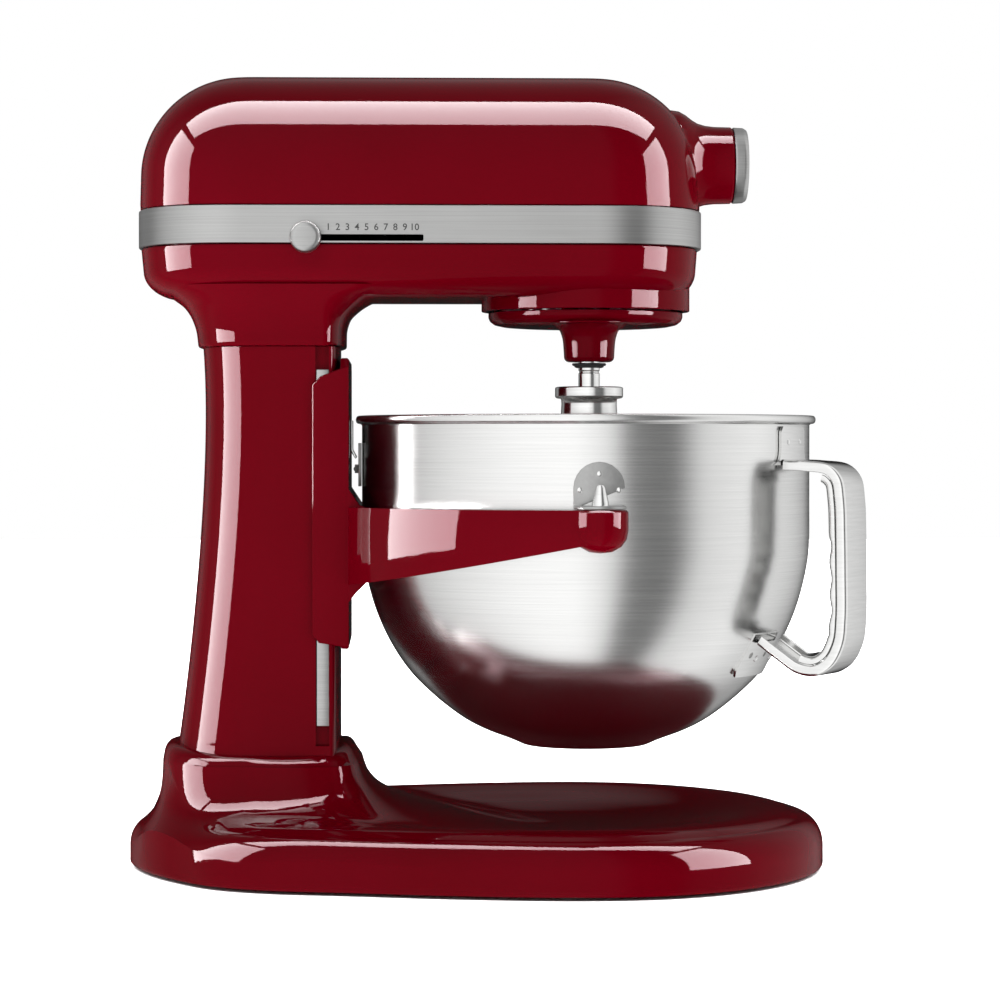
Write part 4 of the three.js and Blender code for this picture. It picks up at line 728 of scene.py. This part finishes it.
def cover_piece():
    base = BAND_TOP + 0.35
    height = HEAD_TOP - BAND_TOP - 0.35
    rings = [cover_ring(0, 6.4, base), cover_ring(0, 0.9, base), cover_ring(0, 0.25, base + 0.25)]
    for i in range(1, 49):
        a = math.pi / 2 * (i / 48) ** 0.92 * 0.985
        rings.append(cover_ring(a, 0, base + height * math.sin(a)))
    shell = loft("cover_shell", rings)
    r = HUB_RADIUS
    end = HUB_FRONT - SHIFT
    profile = [
        (0, 60), (r + 9, 60), (r + 9, 104), (r + 8.4, 108), (r + 6.4, 111.6), (r + 3.9, 114.8),
        (r + 2, 118), (r + 0.8, 122), (r + 0.2, 127), (r, end - 1), (r - 0.9, end), (0, end),
    ]
    hub = lathe("hub", profile, "x", (SHIFT, 0, HUB_Z), 96, 40)
    shell = boolean(shell, hub)
    hollow_rings = [cover_ring(0, 6.4, base - 3)]
    for i in range(13):
        a = math.pi / 2 * (i / 12) * 0.985
        hollow_rings.append(cover_ring(a, 4, base + (height - 4) * math.sin(a)))
    hollow = loft("hollow", hollow_rings)
    shell = boolean(shell, hollow, "DIFFERENCE")
    bore = lathe("bore", [(0, 60), (13, 60), (13, 140), (0, 140)], "x", (SHIFT, 0, HUB_Z), 64)
    return boolean(shell, bore, "DIFFERENCE")


show(cover_piece(), "red_enamel", "stand", "head_upper_cover")


def band_piece():
    def ring(out, height):
        return level(head_plan(HEAD_REAR, HEAD_FRONT, HEAD_HALF, -out, 48), height)

    low, top = BAND_LOW, BAND_TOP
    layers = [(-2.7, low), (0.1, low), (0.55, low + 0.25), (0.7, low + 0.8)]
    layers += [(0.7, low + (top - low) * t) for t in (0.25, 0.5, 0.75)]
    layers += [(0.7, top - 0.8), (0.55, top - 0.25), (0.1, top), (-2.7, top)]
    band = loft("band_shell", [ring(o, z) for o, z in layers], True)
    rear, front = KNOB_X - 4, KNOB_X + SLOT_LENGTH
    low, high = KNOB_Z - 1.7, KNOB_Z + 1.7
    outline = corners([(rear, low), (front, low), (front, high), (rear, high)], 0.8, 4, True)
    return boolean(band, prism("slot", outline, "xz", -80, -50), "DIFFERENCE")


show(band_piece(), "brushed_trim", "stand", "trim_band")


def dial_numbers():
    """Speeds 1 to 10 printed above the slot."""
    for number in range(1, 11):
        text = bpy.data.curves.new(f"speed_{number}", "FONT")
        text.body = str(number)
        text.size = 0.0049
        text.align_x = "CENTER"
        text.align_y = "CENTER"
        text.extrude = 0.00006
        text.offset = 0.00005
        text.resolution_u = 3
        source = bpy.data.objects.new(f"speed_{number}", text)
        bpy.context.scene.collection.objects.link(source)
        bpy.context.view_layer.update()
        graph = bpy.context.evaluated_depsgraph_get()
        mesh = bpy.data.meshes.new_from_object(source.evaluated_get(graph))
        bpy.data.objects.remove(source)
        x = KNOB_X + 11.6 + (number - 1) * 4.92
        place = Matrix.Translation((x / 1000, -(HEAD_HALF + 0.74) / 1000, (KNOB_Z + 5.3) / 1000))
        mesh.transform(place @ Matrix.Rotation(math.pi / 2, 4, "X"))
        piece = bpy.data.objects.new(f"speed_number_{number}", mesh)
        bpy.context.scene.collection.objects.link(piece)
        show(piece, "black_plastic", "stand", material=dial_ink)


dial_numbers()

# ------------------------------------------------------------------ planetary drive

low = mm("planetary_housing")[0][2]
top = HEAD_FLOOR - 6.6
disc = lathe("planetary_shell", corners([
    (0, top + 14), (13, top + 14), (13, top), (51.9, top), (51.9, top - 2.6), (51, top - 4.6),
    (48.6, top - 6.4), (44, top - 7.4), (38, top - 7.8), (0, top - 7.9)], 0.6), "z", (DRIVE, 0, 0), 128)
tube = lathe("tube", corners([
    (0, top - 2), (24, top - 6.4), (18.5, top - 7.8), (15.4, top - 10.2), (13.8, top - 15), (13.4, top - 20),
    (13.1, low + 1.6), (11.6, low), (0, low)], 2.2, 5), "z", (DRIVE, AGITATOR_Y, 0), 96)
show(boolean(disc, tube), "red_enamel", "planetary", "planetary_housing")

washer = [(6, low - 0.6), (8.6, low - 0.6), (9, low - 1.2), (8.6, low - 1.9), (7.7, low - 2.1),
          (7.7, low - 2.6), (6.6, low - 3.1), (6, low - 3.1)]
seal = lathe("seal_ring", washer, "z", (DRIVE, AGITATOR_Y, 0), 64, 30, True)
show(seal, "rubber", "planetary", "seal_washer")

shaft_low, shaft_high = mm("agitator_shaft")
show(lathe("agitator_shaft_turned", corners([
    (0, shaft_low[2]), (5.6, shaft_low[2]), (5.6, 262.4), (5.2, 262.8), (5.2, 263.6), (5.6, 264),
    (5.6, shaft_high[2]), (0, shaft_high[2])], 0.8), "z", (DRIVE, AGITATOR_Y, 0), 48),
    "polished_steel", "agitator", "agitator_shaft")
top = mm("beater_collar")[1][2]
collar_profile = corners([
    (5.95, top), (16.4, top), (17.85, top - 0.5), (17.85, top - 5.4), (17, top - 6.1), (14.7, top - 6.4),
    (14.5, top - 9), (15, top - 18), (5.95, top - 18)], 0.5, 3, True)
show(lathe("beater_collar_turned", collar_profile, "z", (DRIVE, AGITATOR_Y, 0), 80, 30, True),
     "polished_steel", "agitator", "beater_collar")

# ------------------------------------------------------------------ attachment hub

x0 = cap_low[0]
face = cap_high[0]
show(lathe("hub_cap_turned", corners([
    (0, x0), (11.6, x0), (12.65, x0 + 1), (12.65, HUB_FRONT + FIT), (HUB_RADIUS - 0.2, HUB_FRONT + FIT),
    (HUB_RADIUS - 0.1, HUB_FRONT + 1), (HUB_RADIUS - 0.4, face - 2.2), (HUB_RADIUS - 1.6, face - 0.3),
    (HUB_RADIUS - 3.2, face - 0.2), (HUB_RADIUS - 3.6, face - 0.7), (HUB_RADIUS - 4.2, face - 0.7),
    (HUB_RADIUS - 4.6, face - 0.1), (0, face)], 0.7), "x", (0, 0, HUB_Z), 96, 30),
    "brushed_trim", "attachment_cap", "hub_cap")
y1 = knob_low[1]
y0 = -(HEAD_HALF + BAND_PROUD) - 1.5
r = KNOB_RADIUS
show(lathe("speed_knob_turned", corners([
    (0, y1), (r - 2.2, y1 + 0.2), (r - 0.6, y1 + 1.1), (r, y1 + 2.6), (r, y0 - 0.5),
    (r - 0.5, y0), (0, y0)], 1.3, 5), "y", (KNOB_X, 0, KNOB_Z), 72),
    "brushed_trim", "speed_control", "speed_knob")

# ------------------------------------------------------------------ bowl

# Outside of the wall: share of the bowl's radius, height above its bottom.
BOWL_CURVE = [
    (0, 1.6), (0.17, 0.9), (0.27, 0), (0.325, 3), (0.46, 9.3), (0.555, 15.5), (0.69, 28.2),
    (0.795, 41.2), (0.88, 57), (0.94, 73.3), (0.975, 88), (0.995, 101), (1, 112),
]


def bowl_piece():
    curve = [(s * BOWL_RADIUS, BOWL_LOW + h) for s, h in BOWL_CURVE]
    outer = catmull(curve[2:] + [(BOWL_RADIUS, BOWL_LOW + 130), (BOWL_RADIUS, BOWL_RIM - 5)], False, 60)
    foot = corners([curve[0], curve[1], curve[2], tuple(outer[2])], 2.5)[:-1]
    outer = np.concatenate([foot, outer[2:]])
    direction = np.gradient(outer, axis=0)
    normal = np.column_stack([-direction[:, 1], direction[:, 0]])
    normal /= np.linalg.norm(normal, axis=1)[:, None]
    inner = outer + normal * BOWL_WALL
    inner[0, 0] = 0
    rim = BOWL_RIM
    roll = [(BOWL_RADIUS + 1.65 + 1.65 * math.cos(a), rim - 2.15 + 2.15 * math.sin(a))
            for a in np.linspace(-1.9, math.pi * 0.86, 14)]
    profile = list(outer) + roll + list(inner[::-1])
    return lathe("bowl_shell", profile, "z", (DRIVE, 0, 0), 160, 40)


show(bowl_piece(), "bowl_steel", "carriage", "bowl")

# ------------------------------------------------------------------ bowl handle

GRIP = 156  # outside of the grip from the bowl's axis
# The handle's own plane is turned a little towards the speed lever's side.
HANDLE_TURN = Matrix.Translation((DRIVE / 1000, 0, 0)) @ Matrix.Rotation(-math.pi / 6, 4, "Z")
PATH = catmull([
    (BOWL_RADIUS + 0.9, 217.5), (GRIP - 24, 217), (GRIP - 10, 215), (GRIP - 3.2, 208.5), (GRIP - 1, 197),
    (GRIP - 0.3, 180), (GRIP, 160), (GRIP, 136), (GRIP - 1.6, 123), (GRIP - 7.5, 112), (GRIP - 17, 106.5),
    (GRIP - 28, 107.5), (GRIP - 38, 113.5), (GRIP - 50.5, 122)], False, 241)
TANGENT = np.gradient(PATH, axis=0)
TANGENT /= np.linalg.norm(TANGENT, axis=1)[:, None]


def strap(name, section, start, end, steps):
    """Section swept along part of the handle's path; the section may change on the way."""
    rings = []
    for u in np.linspace(start, end, steps + 1):
        i = u * 240
        p = np.array([np.interp(i, range(241), PATH[:, k]) for k in (0, 1)])
        t = np.array([np.interp(i, range(241), TANGENT[:, k]) for k in (0, 1)])
        rings.append([(p[0] - t[1] * out, across, p[1] + t[0] * out) for across, out in section(u)])
    return loft(name, rings, angle=32)


HALF_GRIP = 15
OUTER_SECTION = corners([
    (-HALF_GRIP, -5.5), (-HALF_GRIP, -1.2), (-HALF_GRIP + 1.4, 0), (HALF_GRIP - 1.4, 0), (HALF_GRIP, -1.2),
    (HALF_GRIP, -5.5), (HALF_GRIP - 1.4, -5.5), (HALF_GRIP - 1.4, -1.7), (-HALF_GRIP + 1.4, -1.7),
    (-HALF_GRIP + 1.4, -5.5)], 0.9, 3, True)


def inner_section(u):
    """Channel inside the grip, with finger waves along its straight part."""
    inside = min(1.0, max(0.0, (u - 0.34) / 0.04)) * min(1.0, max(0.0, (0.66 - u) / 0.04))
    wave = 1.1 * math.sin(max(0.0, u - 0.34) / 0.32 * math.pi * 3.5) ** 2 * inside
    deep = -10.4 + wave
    side = HALF_GRIP - 0.8
    return corners([
        (-side, -6.2), (-side + 1.4, -6.2), (-side + 1.4, deep + 1.5), (side - 1.4, deep + 1.5),
        (side - 1.4, -6.2), (side, -6.2), (side, deep + 1.3), (side - 1.5, deep), (-side + 1.5, deep),
        (-side, deep + 1.3)], 0.9, 3, True)


def handle_pieces():
    face = BOWL_RADIUS + 0.3

    def curved(name, low, high, half, taper):
        """Grid plate following the wall between two heights, narrowing to the strap."""
        rings = []
        for t in np.linspace(0, 1, 15):
            r = low[0] + (high[0] - low[0]) * t
            z = low[1] + (high[1] - low[1]) * t
            wide = half + taper(t)
            loop = []
            for s in np.linspace(-1, 1, 13):
                loop.append((r, wide * s / r, z, 0))
            for s in np.linspace(1, -1, 13):
                loop.append((r, wide * s / r, z, 1))
            normal = np.array([high[1] - low[1], -(high[0] - low[0])], float)
            normal /= np.linalg.norm(normal)
            normal *= 1 if normal[0] > 0 else -1
            ring = []
            for q, a, w, k in loop:
                out = q + normal[0] * 1.5 * k
                ring.append((out * math.cos(a), out * math.sin(a), w + normal[1] * 1.5 * k))
            rings.append(ring)
        return loft(name, rings, angle=32)

    grip = strap("handle_outer_strap", lambda u: OUTER_SECTION, 0.004, 0.995, 120)
    def top_flare(t):
        return 5.2 - 5.2 * (1 - (1 - min(1, t * 2.2)) ** 2) ** 0.5 - 2.0 * max(0, t - 0.86) / 0.14

    top_pad = curved("top", (face, 214.5), (face, BOWL_RIM - 6), 15, top_flare)
    low_pad = curved("low", (95.6, 105.2), (107.3, 127.8), 19,
                     lambda t: -2.0 * max(0, 0.14 - t) / 0.14 - 1.5 * t)
    grip = boolean(grip, top_pad)
    grip = boolean(grip, low_pad)
    grip.data.transform(HANDLE_TURN)
    show(grip, "polished_steel", "carriage", "handle_outer")
    inner = strap("handle_inner_strap", inner_section, 0.13, 0.86, 110)
    inner.data.transform(HANDLE_TURN)
    show(inner, "polished_steel", "carriage", "handle_inner")
    # Weld spots: distance out, height, place across, direction they face.
    lean = np.array([22.6, -11.7]) / 25.45
    spots = [(face + 1.5, 226.5, across, (1, 0)) for across in (-7.5, 7.5)]
    spots += [(102.6 + 1.35, 114.8 - 0.7, across, tuple(lean)) for across in (-9, 9)]
    for index, (r, z, across, n) in enumerate(spots):
        ringed = corners([(0, 0.02), (0.7, 0.05), (1.1, 0.22), (1.5, 0.22), (1.9, -0.2), (0, -0.2)], 0.2, 2)
        dimple = lathe(f"handle_weld_{index + 1}", ringed, "z", (0, 0, 0), 24)
        out = Vector((n[0], 0, n[1]))
        a = across / r
        matrix = Matrix.Rotation(a, 4, "Z") @ Matrix.Translation((r / 1000, 0, z / 1000))
        matrix = matrix @ Vector((0, 0, 1)).rotation_difference(out).to_matrix().to_4x4()
        dimple.data.transform(HANDLE_TURN @ matrix)
        show(dimple, "polished_steel", "carriage")


handle_pieces()

# ------------------------------------------------------------------ yoke, brackets and small parts

refine("lift_yoke", "carriage", 1.5, 3, 30, 50)
for side in ("left", "right"):
    refine(f"bowl_bracket_{side}", "carriage", 0.35)
    y = middle(f"yoke_pin_{side}")[1]
    t = mm(f"yoke_pin_{side}")[1][2] - 12.7  # top of the yoke
    show(lathe(f"yoke_pin_{side}_turned", corners([
        (0, t - 10.5), (3, t - 10.5), (3, t + FIT), (4.9, t + FIT), (4.9, t + 1.6), (4.3, t + 2.2),
        (4.2, t + 3.4), (2.4, t + 11.4), (1.7, t + 12.6), (0, t + 12.7)], 0.5), "z", (DRIVE, y, 0), 48, 30),
        "polished_steel", "carriage", f"yoke_pin_{side}")
    sign = -1 if side == "left" else 1
    face_y = sign * (BOWL_RADIUS + 1.85)
    for index, (dx, dz) in enumerate(((-9.8, 9.5), (9.8, 9.5), (0, 17.6))):
        domed = corners([
            (0, 0.3 * sign), (0.8, 0.26 * sign), (1.35, 0.0), (1.35, -0.3 * sign), (0, -0.3 * sign)], 0.3, 3)
        place = (DRIVE + dx, face_y, t + FIT + dz)
        weld = lathe(f"bracket_weld_{side}_{index + 1}", domed, "y", place, 20)
        show(weld, "polished_steel", "carriage")
refine("bowl_rear_bracket", "carriage", 0.25)
refine("spring_latch", "carriage", 0.25)
for side in ("left", "right"):
    refine(f"guide_rail_{side}", "stand", 0.3)
refine("cord_gland", "stand", 0.4)
for i in range(1, 6):
    refine(f"foot_{i}", "stand", 0.5)
refine("hub_knob", "attachment_knob", 0.6, 3, 30, 50)
refine("lift_lever", "lift_handle", 0.4)
refine("lift_grip", "lift_handle", 0.8, 3)
refine("lift_shaft", "lift_handle", 0.4)
refine("flat_beater", "agitator", 1.6, 3)
refine("hub_drive_gear", "hub_drive", 0)

# ------------------------------------------------------------------ camera, floor and light

camera_data = bpy.data.cameras.new("camera")
camera_data.lens = 115.06
camera_data.sensor_width = 36
camera_data.clip_end = 50
camera = bpy.data.objects.new("camera", camera_data)
camera.location = (-0.0497, -1.710, 0.224)
aim = Vector((0.0049, 0.0, 0.1955))
camera.rotation_euler = (aim - camera.location).to_track_quat("-Z", "Y").to_euler()
bpy.context.scene.collection.objects.link(camera)
bpy.context.scene.camera = camera

floor_mesh = bpy.data.meshes.new("floor")
floor_mesh.from_pydata([(-6, -6, 0), (6, -6, 0), (6, 6, 0), (-6, 6, 0)], [], [(0, 1, 2, 3)])
pale = plain_material("floor_pale", (0.86, 0.86, 0.86), (0.88, 0.88, 0.88), (0.8, 0.9), 3, 0.0)
pale.node_tree.nodes["Principled BSDF"].inputs["Specular IOR Level"].default_value = 0.0
floor_mesh.materials.append(pale)
floor = bpy.data.objects.new("floor", floor_mesh)
bpy.context.scene.collection.objects.link(floor)
floor.visible_glossy = False

# The strips light only the enamel, and the fill only the floor.
enamel_group = bpy.data.collections.new("enamel_receivers")
floor_group = bpy.data.collections.new("floor_receivers")
floor_group.objects.link(floor)
for item in list(bpy.context.scene.objects):
    if item.type == "MESH" and item.data.materials and item.data.materials[0] == finish["red_enamel"]:
        enamel_group.objects.link(item)


def panel(name, at, look, size, energy, group, diffuse=False, glossy=True):
    """Rectangular light that the camera doesn't see."""
    data = bpy.data.lights.new(name, "AREA")
    data.shape = "RECTANGLE"
    data.size, data.size_y = size
    data.energy = energy
    item = bpy.data.objects.new(name, data)
    item.location = at
    item.rotation_euler = (Vector(look) - Vector(at)).to_track_quat("-Z", "Y").to_euler()
    item.visible_camera = False
    item.visible_diffuse = diffuse
    item.visible_glossy = glossy
    bpy.context.scene.collection.objects.link(item)
    if group:
        item.light_linking.receiver_collection = group


STRIP = 120  # brightness of the strips, whatever their size
for name, at, look, size in (
        ("strip_left", (-1.25, -0.36, 0.78), (0, -0.36, 0.78), (0.92, 1.5)),
        ("strip_right", (1.25, -0.62, 0.78), (0, -0.62, 0.78), (0.9, 1.5)),
        ("strip_top", (0.0, -0.24, 1.75), (0.0, -0.24, 0), (2.5, 0.72))):
    panel(name, at, look, size, STRIP * size[0] * size[1] * math.pi, enamel_group)
panel("floor_fill", (0, 0, 4), (0, 0, 0), (11, 11), 1700, floor_group, diffuse=True, glossy=False)
panel("key", (-0.9, -2.2, 2.4), (0, 0, 0.2), (1.6, 1.6), 26, None, diffuse=True, glossy=False)

world = bpy.data.worlds.new("studio")
bpy.context.scene.world = world
world.use_nodes = True
wn, wl = world.node_tree.nodes, world.node_tree.links
background = wn["Background"]
path = wn.new("ShaderNodeLightPath")
sky = wn.new("ShaderNodeTexCoord")
split = wn.new("ShaderNodeSeparateXYZ")
wl.new(sky.outputs["Generated"], split.inputs[0])
angle = wn.new("ShaderNodeMath")
angle.operation = "ARCTAN2"
wl.new(split.outputs["X"], angle.inputs[0])
flip = wn.new("ShaderNodeMath")
flip.operation = "MULTIPLY"
flip.inputs[1].default_value = -1
wl.new(split.outputs["Y"], flip.inputs[0])
wl.new(flip.outputs[0], angle.inputs[1])
turn = wn.new("ShaderNodeMapRange")
turn.inputs["From Min"].default_value = -math.pi
turn.inputs["From Max"].default_value = math.pi
wl.new(angle.outputs[0], turn.inputs["Value"])
surround = wn.new("ShaderNodeValToRGB")
elements = surround.color_ramp.elements
# Brightness by bearing, in degrees round from the camera's side towards +X.
stops = [
    (-180, 0.5), (-150, 0.35), (-118, 0.3), (-104, 0.8), (-75, 1.15), (-40, 1.45), (-8, 1.55), (10, 1.2),
    (19, 0.24), (44, 0.2), (57, 1.05), (95, 1.3), (130, 0.85), (150, 0.45), (180, 0.5),
]
elements[0].position, elements[1].position = 0.0, 1.0
for degrees, value in stops[1:-1]:
    elements.new((degrees + 180) / 360)
for element, (degrees, value) in zip(elements, stops):
    element.color = (value, value, value, 1)
wl.new(turn.outputs["Result"], surround.inputs["Fac"])
# A dark patch straight behind the mixer keeps the enamel's edges deep red.
facing = wn.new("ShaderNodeMapRange")
facing.inputs["From Min"].default_value = 0.84
facing.inputs["From Max"].default_value = 0.95
facing.inputs["To Min"].default_value = 1.0
facing.inputs["To Max"].default_value = 0.03
wl.new(split.outputs["Y"], facing.inputs["Value"])
patch = wn.new("ShaderNodeVectorMath")
patch.operation = "SCALE"
wl.new(surround.outputs["Color"], patch.inputs[0])
wl.new(facing.outputs["Result"], patch.inputs["Scale"])
# Only reflections see the surround; everything else sees plain white.
choose = wn.new("ShaderNodeMix")
choose.data_type = "RGBA"
wl.new(path.outputs["Is Glossy Ray"], choose.inputs["Factor"])
white, reflected = [s for s in choose.inputs if s.type == "RGBA"]
white.default_value = (1, 1, 1, 1)
wl.new(patch.outputs[0], reflected)
colour = [s for s in choose.outputs if s.type == "RGBA"][0]
wl.new(colour, background.inputs["Color"])
background.inputs["Strength"].default_value = 1.0
world.cycles.sampling_method = "NONE"
bpy.context.scene.view_settings.view_transform = "Standard"
